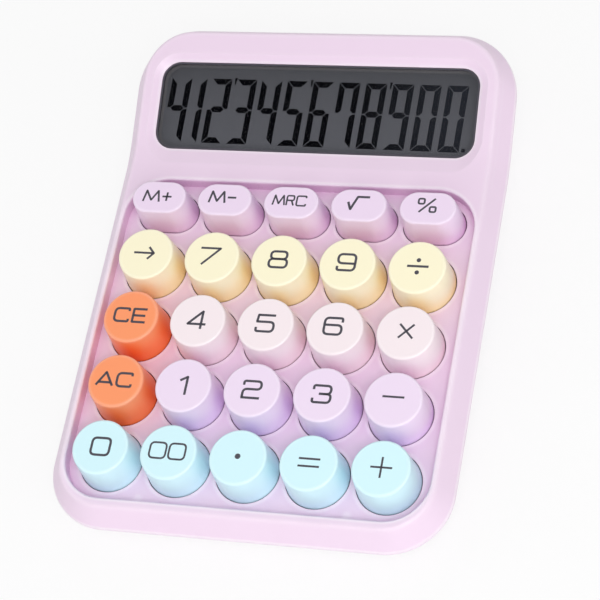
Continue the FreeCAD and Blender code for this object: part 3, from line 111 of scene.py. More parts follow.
class Shader:
    """A material with a principled shader and short calls for the nodes that feed it."""

    def __init__(self, name):
        self.material = bpy.data.materials.new(name)
        self.material.use_nodes = True
        self.nodes = self.material.node_tree.nodes
        self.links = self.material.node_tree.links
        self.bsdf = self.nodes["Principled BSDF"]
        self.place = self.nodes.new("ShaderNodeTexCoord").outputs["Object"]

    def set(self, **values):
        for name, value in values.items():
            self.bsdf.inputs[name.replace("_", " ")].default_value = value
        return self

    def feed(self, socket, output):
        self.links.new(output, self.bsdf.inputs[socket])

    def noise(self, scale, detail=3.0, rough=0.5, place=None):
        node = self.nodes.new("ShaderNodeTexNoise")
        node.inputs["Scale"].default_value = scale
        node.inputs["Detail"].default_value = detail
        node.inputs["Roughness"].default_value = rough
        self.links.new(place or self.place, node.inputs["Vector"])
        return node.outputs["Fac"]

    def stretch(self, x, y, z):
        node = self.nodes.new("ShaderNodeMapping")
        node.inputs["Scale"].default_value = (x, y, z)
        self.links.new(self.place, node.inputs["Vector"])
        return node.outputs["Vector"]

    def ramp(self, factor, *stops):
        node = self.nodes.new("ShaderNodeValToRGB")
        ramp = node.color_ramp
        while len(ramp.elements) < len(stops):
            ramp.elements.new(0.5)
        for element, (position, colour) in zip(ramp.elements, stops):
            element.position = position
            element.color = colour
        self.links.new(factor, node.inputs["Fac"])
        return node.outputs["Color"]

    def span(self, factor, low, high):
        node = self.nodes.new("ShaderNodeMapRange")
        node.inputs["To Min"].default_value = low
        node.inputs["To Max"].default_value = high
        self.links.new(factor, node.inputs["Value"])
        return node.outputs["Result"]

    def between(self, value, low, high):
        """0 at a low value, 1 at a high one."""
        node = self.nodes.new("ShaderNodeMapRange")
        node.inputs["From Min"].default_value = low
        node.inputs["From Max"].default_value = high
        self.links.new(value, node.inputs["Value"])
        return node.outputs["Result"]

    def mix(self, factor, first, second, blend="MIX"):
        node = self.nodes.new("ShaderNodeMix")
        node.data_type = "RGBA"
        node.blend_type = blend
        for index, value in ((0, factor), (6, first), (7, second)):
            if isinstance(value, bpy.types.NodeSocket):
                self.links.new(value, node.inputs[index])
            else:
                node.inputs[index].default_value = value
        return node.outputs[2]

    def reckon(self, operation, first, second=0.0):
        node = self.nodes.new("ShaderNodeMath")
        node.operation = operation
        for socket, value in zip(node.inputs, (first, second)):
            if isinstance(value, bpy.types.NodeSocket):
                self.links.new(value, socket)
            else:
                socket.default_value = value
        return node.outputs["Value"]

    def along(self, direction, origin):
        """How far the shaded point lies from an origin along a direction."""
        away = self.nodes.new("ShaderNodeVectorMath")
        away.operation = "SUBTRACT"
        away.inputs[1].default_value = origin
        self.links.new(self.place, away.inputs[0])
        reach = self.nodes.new("ShaderNodeVectorMath")
        reach.operation = "DOT_PRODUCT"
        reach.inputs[1].default_value = direction
        self.links.new(away.outputs["Vector"], reach.inputs[0])
        return reach.outputs["Value"]

    def past_box(self, matrix, half_width, half_height, corner):
        """How far the shaded point lies outside a round-cornered box drawn on a plane."""
        axes = matrix.to_3x3()
        over = []
        for index, half in enumerate((half_width, half_height)):
            away = self.reckon("ABSOLUTE", self.along(axes.col[index], matrix.translation))
            over.append(self.reckon("SUBTRACT", away, half - corner))
        out_x, out_y = [self.reckon("MAXIMUM", value) for value in over]
        round_part = self.reckon("SQRT", self.reckon("ADD", self.reckon("MULTIPLY", out_x, out_x),
                                                     self.reckon("MULTIPLY", out_y, out_y)))
        inner = self.reckon("MINIMUM", self.reckon("MAXIMUM", over[0], over[1]))
        return self.reckon("SUBTRACT", self.reckon("ADD", round_part, inner), corner)

    def bump(self, height, strength, distance):
        node = self.nodes.new("ShaderNodeBump")
        node.inputs["Strength"].default_value = strength
        node.inputs["Distance"].default_value = distance
        self.links.new(height, node.inputs["Height"])
        self.feed("Normal", node.outputs["Normal"])

    def crevice(self, reach):
        """1 on open surfaces, down to 0 in tight corners and between neighbours, where the painted shade goes."""
        node = self.nodes.new("ShaderNodeAmbientOcclusion")
        node.samples = 12
        node.inputs["Distance"].default_value = reach
        return node.outputs["AO"]

    def edge(self, reach):
        """0 on flats, up to 1 along blunt outer edges, where the painted highlight goes."""
        node = self.nodes.new("ShaderNodeAmbientOcclusion")
        node.samples = 8
        node.inside = True
        node.only_local = True
        node.inputs["Distance"].default_value = reach
        return self.ramp(node.outputs["AO"], (0.5, (0.1, 0.1, 0.1, 1.0)), (0.7, WHITE), (0.96, BLACK))


def paler(colour, amount):
    """A colour moved toward white."""
    return tuple(value + (1 - value) * amount for value in colour[:3]) + (1.0,)


def shade_of(colour, amount):
    """A colour made darker."""
    return tuple(value * amount for value in colour[:3]) + (1.0,)


CLOUD_SCALE = 60
GRAIN_SCALE = 3200
GRAIN_DEPTH = 0.00004


def plastic(name, colour, shade_tint, rough, gloss, crevice_reach, edge_reach, edge_highlight, open_at=0.52):
    """Satin moulded plastic: fine grain and slight clouding, with a painted highlight along its blunt edges and
    painted shade, a darker and fuller colour, in its crevices.
    """
    shader = Shader(name)
    face = shader.mix(shader.noise(CLOUD_SCALE, 2), shade_of(colour, 0.985), colour)
    # Painted highlight: blunt outer edges are painted paler, standing in for the gloss they catch from the lamps
    face = shader.mix(shader.edge(edge_reach), face, paler(colour, edge_highlight))
    # Painted shade: crevices and gaps between neighbours are painted darker and fuller in colour
    painted_shade = shader.ramp(shader.crevice(crevice_reach), (0.0, shade_of(shade_tint, 0.3)), (0.1, shade_tint), (open_at, WHITE))
    shader.feed("Base Color", shader.mix(1.0, face, painted_shade, "MULTIPLY"))
    grain = shader.noise(GRAIN_SCALE, 2, 0.6)
    shader.feed("Roughness", shader.span(grain, rough - 0.05, rough + 0.07))
    shader.bump(grain, 0.10, GRAIN_DEPTH)
    return shader.set(Specular_IOR_Level=gloss).material


# Painted shade and painted highlight: the second colour darkens and tints the casing's crevices, and its blunt
# edges are painted paler
CASING = plastic("casing_plastic", linear(236, 214, 234), linear(248, 222, 240), rough=0.36, gloss=0.45,
                 crevice_reach=0.011, edge_reach=0.0015, edge_highlight=0.45)
# Each key's colour on its top, and the tint of the painted shade in its crevices
KEY_COLOURS = {
    "key_yellow": (linear(254, 247, 214), linear(255, 230, 176)),
    "key_orange": (linear(253, 154, 104), linear(255, 166, 30)),
    "key_pink": (linear(248, 235, 239), linear(255, 232, 241)),
    "key_lilac": (linear(240, 222, 244), linear(244, 226, 255)),
    "key_blue": (linear(213, 247, 254), linear(246, 252, 255)),
    "key_mauve": (linear(238, 218, 241), linear(238, 204, 232)),
}
# How open a surface must be before the painted shade on it fades out
OPEN_AT = {"key_orange": 0.75}
# Each key's plastic has painted shade in its crevices and a painted highlight along its edges
KEY_PLASTIC = {slot: plastic(slot, top, shade_tint, rough=0.36, gloss=0.45, crevice_reach=0.012, edge_reach=0.0011,
                             edge_highlight=0.18, open_at=OPEN_AT.get(slot, 0.52))
               for slot, (top, shade_tint) in KEY_COLOURS.items()}


def rubber(name, colour):
    """Matt speckled rubber."""
    shader = Shader(name)
    speck = shader.noise(2200, 4, 0.7)
    shader.feed("Base Color", shader.mix(speck, shade_of(colour, 0.9), shade_of(colour, 1.05)))
    shader.feed("Roughness", shader.span(speck, 0.7, 0.9))
    shader.bump(speck, 0.2, 0.00005)
    return shader.set(Specular_IOR_Level=0.25).material


def steel(name, colour, rough):
    """Metal with fine drawn scratches."""
    shader = Shader(name)
    scratch = shader.noise(900, 3, 0.6, shader.stretch(1, 6, 1))
    shader.feed("Base Color", shader.mix(scratch, shade_of(colour, 0.82), colour))
    shader.feed("Roughness", shader.span(scratch, rough - 0.08, rough + 0.12))
    shader.bump(scratch, 0.08, 0.00002)
    return shader.set(Metallic=1.0).material


def lacquer_board():
    """Green lacquer with fine copper tracks showing through."""
    shader = Shader("board_lacquer")
    tracks = shader.nodes.new("ShaderNodeTexBrick")
    tracks.inputs["Scale"].default_value = 260
    tracks.inputs["Mortar Size"].default_value = 0.035
    tracks.inputs["Color1"].default_value = linear(46, 104, 66)
    tracks.inputs["Color2"].default_value = linear(52, 112, 70)
    tracks.inputs["Mortar"].default_value = linear(96, 150, 92)
    shader.links.new(shader.place, tracks.inputs["Vector"])
    shader.feed("Base Color", tracks.outputs["Color"])
    shader.feed("Roughness", shader.span(shader.noise(700), 0.25, 0.4))
    shader.bump(tracks.outputs["Fac"], 0.1, 0.00003)
    return shader.material


def plain(name, colour, rough_low, rough_high, scale=900, coat=0.0):
    """A gently mottled finish for the inner pieces."""
    shader = Shader(name)
    mottle = shader.noise(scale, 3, 0.6)
    shader.feed("Base Color", shader.mix(mottle, shade_of(colour, 0.9), colour))
    shader.feed("Roughness", shader.span(mottle, rough_low, rough_high))
    shader.bump(mottle, 0.06, 0.00003)
    return shader.set(Coat_Weight=coat).material


def ribbon_film():
    """Amber film with close parallel conductors."""
    shader = Shader("ribbon_film")
    wave = shader.nodes.new("ShaderNodeTexWave")
    wave.bands_direction = "X"
    wave.inputs["Scale"].default_value = 320
    wave.inputs["Distortion"].default_value = 0
    shader.links.new(shader.place, wave.inputs["Vector"])
    shader.feed("Base Color", shader.ramp(wave.outputs["Fac"], (0.35, linear(150, 104, 46)),
                                          (0.65, linear(206, 158, 84))))
    shader.feed("Roughness", shader.span(shader.noise(500), 0.3, 0.45))
    return shader.material


CELL_ENDS = (-0.0203, 0.0243)


def cell_wrap():
    """Plain two-tone shrink wrap with bare ends."""
    shader = Shader("cell_wrap")
    grey, gold = linear(74, 84, 98), linear(196, 152, 84)
    bands = shader.ramp(shader.between(shader.along(X_AXIS, ORIGIN), *CELL_ENDS),
                        (0.0, linear(178, 180, 184)), (0.02, grey), (0.68, grey), (0.69, gold), (0.955, gold),
                        (0.965, linear(190, 192, 196)))
    shader.feed("Base Color", bands)
    shader.feed("Roughness", shader.span(shader.noise(800), 0.25, 0.4))
    return shader.set(Metallic=0.4).material


GLASS_HALF_WIDTH = 0.04765
GLASS_HALF_HEIGHT = 0.01255
GLASS_CORNER = 0.00475
# How soft the inner edge of the painted reflection round the border is
BORDER_BLUR = (-0.0003, 0.0002)


def display_glass():
    """Grey liquid-crystal glass with faint clouds and speckle, a paler band round its border as a painted
    reflection of the bezel, and painted light that makes it paler toward its lower edge.
    """
    shader = Shader("display_glass")
    speck = shader.noise(5000, 2)
    field = shader.mix(shader.noise(28, 1), linear(79, 80, 85), linear(84, 85, 90))
    field = shader.mix(speck, field, linear(83, 84, 89))
    plane = display_frame()
    height = shader.along(plane.to_3x3().col[1], plane.translation)
    # Painted light: the glass is painted paler toward its lower edge
    field = shader.mix(shader.between(height, GLASS_HALF_HEIGHT, -GLASS_HALF_HEIGHT), field, linear(94, 95, 101))
    # Painted reflection: a paler band round the border of the glass, where the bezel reflects in the pane
    past = shader.past_box(plane, GLASS_HALF_WIDTH, GLASS_HALF_HEIGHT, GLASS_CORNER)
    shader.feed("Base Color", shader.mix(shader.between(past, *BORDER_BLUR), field, linear(104, 103, 106)))
    shader.feed("Roughness", shader.span(speck, 0.45, 0.6))
    return shader.set(Specular_IOR_Level=0.0).material


def clear_pane():
    """Clear polished plastic with faint smears."""
    shader = Shader("clear_pane")
    smear = shader.noise(90, 2)
    shader.feed("Roughness", shader.span(smear, 0.03, 0.07))
    return shader.set(Base_Color=linear(36, 38, 41), Alpha=0.04, Specular_IOR_Level=0.5).material


def ink(name, colour):
    """Matt print that covers a little unevenly."""
    shader = Shader(name)
    cover = shader.noise(2600, 2)
    shader.feed("Base Color", shader.mix(cover, shade_of(colour, 0.92), colour))
    shader.feed("Roughness", shader.span(cover, 0.45, 0.6))
    return shader.material


# Where the painted light on the segments starts and ends, across the display
CRYSTAL_PAINTED_FADE = (0.012, 0.046)


def crystal_ink():
    """Dark liquid-crystal segments with painted light that makes them paler toward one side."""
    shader = Shader("crystal_ink")
    across = shader.between(shader.along(X_AXIS, ORIGIN), *CRYSTAL_PAINTED_FADE)
    shader.feed("Base Color", shader.ramp(across, (0.0, linear(3, 3, 6)), (1.0, linear(36, 38, 45))))
    shader.feed("Roughness", shader.span(shader.noise(3000), 0.45, 0.6))
    return shader.set(Specular_IOR_Level=0.0).material


MAT_RUBBER = rubber("mat_rubber", linear(226, 226, 222))
PRINT_INK = ink("print_ink", linear(62, 60, 70))

SLOT_MATERIAL = {
    "casing": CASING,
    "clear_pane": clear_pane(),
    "display_glass": display_glass(),
    "foot_rubber": rubber("foot_rubber", linear(206, 196, 206)),
    "mat_rubber": MAT_RUBBER,
    "board": lacquer_board(),
    "resin": plain("resin", linear(26, 26, 28), 0.2, 0.35, 400, 0.3),
    "screw_steel": steel("screw_steel", linear(190, 190, 194), 0.35),
    "contact_steel": steel("contact_steel", linear(214, 210, 204), 0.25),
    "holder_plastic": plain("holder_plastic", linear(236, 236, 232), 0.45, 0.6),
    "ribbon_film": ribbon_film(),
    "cell_wrap": cell_wrap(),
    "lead_red": plain("lead_red", linear(190, 42, 38), 0.4, 0.55),
    "lead_black": plain("lead_black", linear(30, 30, 32), 0.4, 0.55),
}
SLOT_MATERIAL.update(KEY_PLASTIC)

for part in frame["record"]["subparts"]:
    mesh = NODES[part["node"]].data
    mesh.materials.clear()
    mesh.materials.append(SLOT_MATERIAL[part["material_slot"]])


# Pieces
def make_piece(name, mesh, matrix, material, body):
    """An object from a mesh drawn in a frame, riding on a body."""
    mesh.transform(matrix)
    piece = bpy.data.objects.new(name, mesh)
    bpy.context.collection.objects.link(piece)
    mesh.materials.append(material)
    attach(piece, body)
    return piece


# Strokes
CORNER_STEPS = 6
SHARPEST_MITRE = 0.4


def rounded(points, radius, closed=False):
    """A line through points with its corners rounded."""
    points = [Vector(point) for point in points]
    count = len(points)
    path = []
    for index, corner in enumerate(points):
        if not closed and index in (0, count - 1):
            path.append(corner)
            continue
        before, after = points[index - 1], points[(index + 1) % count]
        toward, onward = (before - corner), (after - corner)
        reach = min(radius, toward.length * 0.49, onward.length * 0.49)
        start = corner + toward.normalized() * reach
        end = corner + onward.normalized() * reach
        for step in range(CORNER_STEPS + 1):
            t = step / CORNER_STEPS
            path.append(start * (1 - t) ** 2 + corner * 2 * t * (1 - t) + end * t * t)
    return path


def stroke_rails(path, width, closed):
    """Left and right edges of a stroke along a path."""
    count = len(path)
    rails = []
    for index, point in enumerate(path):
        before = path[index - 1] if closed or index else None
        after = path[(index + 1) % count] if closed or index < count - 1 else None
        first = (point - before).normalized() if before is not None else None
        second = (after - point).normalized() if after is not None else None
        if first is None or second is None:
            direction = first or second
            side = Vector((-direction.y, direction.x)) * width / 2
        else:
            normal = (Vector((-first.y, first.x)) + Vector((-second.y, second.x))).normalized()
            side = normal * width / 2 / max(SHARPEST_MITRE, normal.dot(Vector((-first.y, first.x))))
        rails.append((point + side, point - side))
    return rails


def add_sheet(work, corners, thickness):
    """A thin raised sheet over a flat outline."""
    low = [work.verts.new((x * MM, y * MM, 0)) for x, y in corners]
    high = [work.verts.new((x * MM, y * MM, thickness * MM)) for x, y in corners]
    work.faces.new(high)
    work.faces.new(low[::-1])
    count = len(corners)
    for index in range(count):
        following = (index + 1) % count
        work.faces.new((low[index], low[following], high[following], high[index]))


def add_stroke(work, points, width, radius, closed, thickness):
    """A raised stroke as one closed strip."""
    rails = stroke_rails(rounded(points, radius, closed), width, closed)
    rings = []
    for left, right in rails:
        rings.append([work.verts.new((p.x * MM, p.y * MM, z * MM))
                      for p, z in ((left, 0), (right, 0), (right, thickness), (left, thickness))])
    pairs = list(zip(rings, rings[1:]))
    if closed:
        pairs.append((rings[-1], rings[0]))
    for first, second in pairs:
        for index in range(4):
            following = (index + 1) % 4
            work.faces.new((first[index], second[index], second[following], first[following]))
    if not closed:
        work.faces.new(rings[0])
        work.faces.new(rings[-1][::-1])


def ring(x, y, radius, sides):
    """Points round a circle."""
    turn = 2 * math.pi / sides
    return [(x + radius * math.cos(turn * i), y + radius * math.sin(turn * i)) for i in range(sides)]


def flat_curve(outlines, thickness):
    """A sheet with holes from closed outlines."""
    curve = bpy.data.curves.new("sheet", "CURVE")
    curve.dimensions = "2D"
    curve.fill_mode = "BOTH"
    curve.extrude = thickness * MM / 2
    for outline in outlines:
        spline = curve.splines.new("POLY")
        spline.points.add(len(outline) - 1)
        for point, (x, y) in zip(spline.points, outline):
            point.co = (x * MM, y * MM, 0, 1)
        spline.use_cyclic_u = True
    holder = bpy.data.objects.new("sheet", curve)
    bpy.context.collection.objects.link(holder)
    mesh = bpy.data.meshes.new_from_object(holder.evaluated_get(bpy.context.evaluated_depsgraph_get()))
    bpy.data.objects.remove(holder)
    return mesh


def finished_mesh(work, name):
    """A mesh from a bmesh, its faces turned outward."""
    bmesh.ops.recalc_face_normals(work, faces=work.faces)
    mesh = bpy.data.meshes.new(name)
    work.to_mesh(mesh)
    work.free()
    return mesh


# Legends: strokes in millimetres about the middle of a key's top
W, H = 2.52, 2.5
TALL = 2.72
SMALL = 2.02
ROUND, SHARP = 1.35, 0.12
OPEN, CLOSED = False, True


def box_path(cx, cy, half_width, half_height):
    return [(cx - half_width, cy - half_height), (cx + half_width, cy - half_height),
            (cx + half_width, cy + half_height), (cx - half_width, cy + half_height)]


def letter_c(cx, half_width, half_height, lip):
    right, left = cx + half_width, cx - half_width
    return [(right, half_height - lip), (right, half_height), (left, half_height),
            (left, -half_height), (right, -half_height), (right, lip - half_height)]


def letter_m(cx, half_width, half_height):
    return [(cx - half_width, -half_height), (cx - half_width * 0.72, half_height), (cx, -half_height * 0.72),
            (cx + half_width * 0.72, half_height), (cx + half_width, -half_height)]


def plus(cx, reach):
    return [([(cx - reach, 0), (cx + reach, 0)], SHARP, OPEN), ([(cx, -reach), (cx, reach)], SHARP, OPEN)]


LEGENDS = {
    "key_0": [(box_path(0, 0, 2.68, 2.52), ROUND, CLOSED)],
    "key_00": [(box_path(-2.8, 0, 2.35, 2.3), ROUND, CLOSED), (box_path(2.8, 0, 2.35, 2.3), ROUND, CLOSED)],
    "key_1": [([(-1.5, 1.55), (0.55, TALL), (0.55, -TALL)], SHARP, OPEN)],
    "key_2": [([(-W, 1.25), (-W, H), (W, H), (W, 0.1), (-W, 0.1), (-W, -H)], ROUND, OPEN),
              ([(-W - 0.29, -H), (W, -H)], SHARP, OPEN)],
    "key_3": [([(-W, 1.3), (-W, H), (W * 0.95, H), (W * 0.95, 0.05), (-0.9, 0.05)], ROUND, OPEN),
              ([(0.4, 0.05), (W, 0.05), (W, -H), (-W, -H), (-W, -1.25)], ROUND, OPEN)],
    "key_4": [([(1.3, -TALL), (1.3, TALL), (-2.65, -1.25), (2.65, -1.25)], SHARP, OPEN)],
    "key_5": [([(W + 0.1, H), (-W * 0.9, H), (-W * 0.98, 0.45)], SHARP, OPEN),
              ([(-W * 0.98 - 0.27, 0.45), (W, 0.45), (W, -H), (-W, -H), (-W, -1.25)], ROUND, OPEN)],
    "key_6": [([(W, 1.25), (W, H), (-W, H), (-W, -H), (W, -H), (W, 0.35), (-W, 0.35)], ROUND, OPEN)],
    "key_7": [([(-2.97, H), (2.92, H), (-2.05, -TALL)], SHARP, OPEN)],
    "key_8": [(box_path(0, 1.32, W * 0.93, 1.18), ROUND * 0.9, CLOSED),
              (box_path(0, -1.18, W * 1.05, 1.32), ROUND, CLOSED)],
    "key_9": [([(-W, -1.25), (-W, -H), (W, -H), (W, H), (-W, H), (-W, -0.35), (W, -0.35)], ROUND, OPEN)],
    "key_backspace": [([(-3.0, 0), (2.9, 0)], SHARP, OPEN), ([(1.3, 1.9), (3.0, 0), (1.3, -1.9)], SHARP, OPEN)],
    "key_clear_entry": [(letter_c(-2.7, 2.1, SMALL, 0.8), ROUND, OPEN),
                        ([(4.65, SMALL), (0.75, SMALL), (0.75, -SMALL), (4.65, -SMALL)], SHARP, OPEN),
                        ([(0.75, 0), (4.4, 0)], SHARP, OPEN)],
    "key_all_clear": [([(-5.3, -SMALL), (-2.85, SMALL), (-0.4, -SMALL)], SHARP, OPEN),
                      ([(-4.7, -1.05), (-1.0, -1.05)], SHARP, OPEN),
                      (letter_c(2.85, 2.15, SMALL, 0.8), ROUND, OPEN)],
    "key_equals": [([(-3.0, 1.08), (3.0, 1.08)], SHARP, OPEN), ([(-3.0, -1.08), (3.0, -1.08)], SHARP, OPEN)],
    "key_add": plus(0, 3.0),
    "key_subtract": [([(-3.05, 0), (3.05, 0)], SHARP, OPEN)],
    "key_multiply": [([(-2.02, -2.1), (2.02, 2.1)], SHARP, OPEN), ([(-2.02, 2.1), (2.02, -2.1)], SHARP, OPEN)],
    "key_divide": [([(-3.05, 0), (3.05, 0)], SHARP, OPEN)],
    "key_decimal_point": [],
    "key_memory_plus": [(letter_m(-1.85, 2.45, 1.78), SHARP, OPEN)] + plus(2.8, 1.4),
    "key_memory_minus": [(letter_m(-1.75, 2.4, 1.82), SHARP, OPEN), ([(1.35, 0), (3.9, 0)], SHARP, OPEN)],
    "key_memory_recall": [(letter_m(-3.2, 1.75, 1.55), SHARP, OPEN),
                          ([(-0.85, -1.55), (-0.85, 1.55), (1.25, 1.55), (1.25, 0.05), (-0.85, 0.05)], 0.5, OPEN),
                          ([(0.55, 0.05), (1.25, -1.55)], SHARP, OPEN),
                          (letter_c(3.45, 1.35, 1.55, 0.6), 0.6, OPEN)],
    "key_square_root": [([(-3.15, 0.3), (-2.2, -2.0), (-0.55, 2.0), (2.95, 2.0)], SHARP, OPEN)],
    "key_percent": [([(-2.15, -2.2), (2.15, 2.2)], SHARP, OPEN),
                    (box_path(-1.75, 1.25, 0.85, 0.8), 0.5, CLOSED),
                    (box_path(1.75, -1.25, 0.85, 0.8), 0.5, CLOSED)],
}
DOTS = {
    "key_decimal_point": [(0, 0, 1.6)],
    "key_divide": [(0, 1.9, 1.25), (0, -1.9, 1.25)],
}
DOT_SIDES = 28
LEGEND_HEIGHT = 0.03
LEGEND_LIFT = 0.25
STROKE = 0.7
STROKES = {
    "key_7": 0.64, "key_backspace": 0.64, "key_00": 0.55, "key_equals": 0.57, "key_add": 0.55,
    "key_subtract": 0.6, "key_multiply": 0.6, "key_memory_plus": 0.58, "key_memory_minus": 0.6,
    "key_memory_recall": 0.5, "key_square_root": 0.7, "key_percent": 0.56,
}
# The print isn't quite centred on each key
LEGEND_SHIFT = {
    "key_0": (0.26, -0.2), "key_00": (-0.2, 0), "key_equals": (0.17, -0.2), "key_add": (0.15, 0),
    "key_all_clear": (-0.26, 0.12), "key_1": (0.46, -0.42), "key_2": (0.1, -0.18), "key_3": (0.1, -0.12),
    "key_subtract": (0, 0.48), "key_clear_entry": (-0.05, 0.1), "key_4": (0, -0.2), "key_6": (-0.5, 0.33),
    "key_multiply": (0.26, 0.12), "key_backspace": (-0.5, 0), "key_7": (-0.6, 0), "key_8": (-0.1, 0),
    "key_9": (-0.2, 0.15), "key_divide": (0.23, 0), "key_memory_plus": (-0.35, -0.15),
    "key_memory_minus": (-0.4, 0.4), "key_memory_recall": (-0.4, 0.24), "key_square_root": (0, 0.3),
    "key_percent": (-0.23, 0.5),
}


def make_legend(node):
    """The print on one key."""
    work = bmesh.new()
    width = STROKES.get(node, STROKE)
    for points, radius, closed in LEGENDS[node]:
        add_stroke(work, points, width, radius, closed, LEGEND_HEIGHT)
    for spot_x, spot_y, diameter in DOTS.get(node, []):
        add_sheet(work, ring(spot_x, spot_y, diameter / 2, DOT_SIDES), LEGEND_HEIGHT)
    mesh = finished_mesh(work, "legend_" + node)
    axes, centre = key_frame(node)
    x, y = LEGEND_SHIFT.get(node, (0, 0))
    shift = Matrix.Translation((x * MM, (LEGEND_LIFT + y) * MM, 0))
    make_piece("legend_" + node[4:], mesh, framed(axes, centre) @ shift, PRINT_INK, node)


for key in LEGENDS:
    make_legend(key)


# Display segments
DIGITS = "412345678900"
MARKS_AFTER = (2, 5, 8)
SEGMENTS = {"0": "abcdef", "1": "bc", "2": "abged", "3": "abgcd", "4": "fgbc", "5": "afgcd",
            "6": "afgcde", "7": "fabc", "8": "abcdefg", "9": "gfabcd"}
DIGIT_PLACES = (-43.66, -38.85, -31.02, -23.24, -15.42, -7.46, 0.54, 8.5, 16.6, 24.7, 32.86, 41.0)
ROW_FALL = 0.005
DIGIT_MIDDLE = -0.4
DIGIT_HALF_WIDTH = 3.14
DIGIT_TOP = 9.43
DIGIT_BOTTOM = -10.4
SEGMENT_WIDTH = 1.8
SEGMENT_GAP = 0.15
SLANT = math.tan(math.radians(3.6))
SEGMENT_HEIGHT = 0.02
MARK_OUTLINE = [(3.9, 9.85), (4.7, 9.85), (4.45, 7.8), (4.1, 7.8)]
POINT_OUTLINE = [(3.88, -9.2), (4.93, -9.2), (4.93, -10.24), (3.88, -10.24)]


def segment_outlines():
    """The seven segments of one upright digit, as outlines about its middle bar."""
    w, t, g = DIGIT_HALF_WIDTH, SEGMENT_WIDTH, SEGMENT_GAP
    half = t / 2

    def bar(y, inward):
        return [(-w + g, y), (w - g, y), (w - t - g, y + inward * t), (-w + t + g, y + inward * t)]

    def side(sign, y):
        up = 1 if y > 0 else -1
        return [(sign * w, y - up * g), (sign * w, up * g * 1.5), (sign * (w - half), up * g),
                (sign * (w - t), up * (half + g)), (sign * (w - t), y - up * (t + g))]

    middle = [(-w + half + g, 0), (-w + t + g, half), (w - t - g, half), (w - half - g, 0),
              (w - t - g, -half), (-w + t + g, -half)]
    return {"a": bar(DIGIT_TOP, -1), "b": side(1, DIGIT_TOP), "c": side(1, DIGIT_BOTTOM),
            "d": bar(DIGIT_BOTTOM, 1), "e": side(-1, DIGIT_BOTTOM), "f": side(-1, DIGIT_TOP), "g": middle}


def make_segments():
    """The row of digits, its marks and its point, lying on the glass."""
    work = bmesh.new()
    outlines = segment_outlines()

    def add(points, middle):
        slanted = [(middle + x + SLANT * y, DIGIT_MIDDLE + y - ROW_FALL * (middle + x)) for x, y in points]
        add_sheet(work, slanted, SEGMENT_HEIGHT)

    for index, (digit, middle) in enumerate(zip(DIGITS, DIGIT_PLACES)):
        for segment in SEGMENTS[digit]:
            add(outlines[segment], middle)
        if index in MARKS_AFTER:
            add(MARK_OUTLINE, middle)
    add(POINT_OUTLINE, DIGIT_PLACES[-1])
    mesh = finished_mesh(work, "lcd_segments")
    make_piece("lcd_segments", mesh, display_frame(), crystal_ink(), "case")


make_segments()


# Painted shade: a dark ring standing in for the shadow gap round the edge of the window
LINE_WIDTH = 0.45
LINE_DEPTH = 0.42
LINE_PROUD = 0.03
WINDOW_CORNER = 5.5


def round_box(half_width, half_height, corner, steps=10):
    """Points round a box with round corners."""
    points = []
    for quarter, (sx, sy) in enumerate(((1, 1), (-1, 1), (-1, -1), (1, -1))):
        for step in range(steps + 1):
            turn = math.pi / 2 * (quarter + step / steps)
            points.append((sx * (half_width - corner) + corner * math.cos(turn),
                           sy * (half_height - corner) + corner * math.sin(turn)))
    return points


def make_window_shadow_ring():
    """A dark ring of painted shade that follows the upper edge of the window."""
    base = display_frame()
    to_display = base.inverted()
    points = [to_display @ vertex.co / MM for vertex in NODES["display_window"].data.vertices]
    top = max(point.z for point in points)
    edge = [point for point in points if point.z > top - LINE_DEPTH]
    half_width = max(point.x for point in edge)
    half_height = max(point.y for point in edge)
    rings = [round_box(half_width - inset, half_height - inset, WINDOW_CORNER - inset)
             for inset in (0, LINE_WIDTH)]
    mesh = flat_curve(rings, LINE_DEPTH)
    lift = Matrix.Translation((0, 0, (top + LINE_PROUD - LINE_DEPTH / 2) * MM))
    make_piece("window_shadow_ring", mesh, base @ lift, PRINT_INK, "case")


make_window_shadow_ring()


# Rubber mat: a flat sheet, and one dome under each key
MAT_THICKNESS = 0.8
DOME_PROFILE = ((2.75, 0.0), (3.5, 0.0), (3.36, 0.45), (2.5, 2.72), (2.38, 2.93), (2.1, 3.0), (0.0, 3.0),
                (0.0, 2.3), (1.75, 2.3), (2.0, 2.05))
DOME_HEIGHT = 3.0
DOME_SIDES = 40
KEY_LENGTH = 13.7
HOLE_RADIUS = 2.7
HOLE_SIDES = 32
MAT_OUTLINE = (0, 39.325, 45.2, 44.525)
MAT_CORNER = 3.0
SCREW_SPOTS = [(x, y) for x in (-30, 30) for y in (10, 50, 69.325)]


def mat_frame():
    """A matrix on the mat's upper face under the middle key of the front row."""
    axes, centre = key_frame("key_decimal_point")
    up = axes.to_3x3() @ Vector((0, 0, 1))
    return framed(axes, centre - up * (KEY_LENGTH + DOME_HEIGHT) * MM)


def make_dome(node, base):
    """A hollow dome with its foot on the mat, closed all round."""
    work = bmesh.new()
    rings = []
    for radius, height in DOME_PROFILE:
        if radius == 0:
            rings.append([work.verts.new((0, 0, height * MM))] * DOME_SIDES)
            continue
        spots = ring(0, 0, radius, DOME_SIDES)
        rings.append([work.verts.new((x * MM, y * MM, height * MM)) for x, y in spots])
    for first, second in zip(rings, rings[1:] + rings[:1]):
        for index in range(DOME_SIDES):
            following = (index + 1) % DOME_SIDES
            corners = [first[index], first[following], second[following], second[index]]
            unique = [corner for place, corner in enumerate(corners) if corner not in corners[:place]]
            if len(unique) > 2:
                work.faces.new(unique)
    for face in work.faces:
        face.smooth = True
    mesh = finished_mesh(work, "dome_" + node)
    axes, centre = key_frame(node)
    up = axes.to_3x3() @ Vector((0, 0, 1))
    anchor = centre - up * (centre - base.translation).dot(up)
    dome = make_piece("dome_" + node[4:], mesh, framed(axes, anchor), MAT_RUBBER, "case")
    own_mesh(dome)
    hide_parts("key_mat")


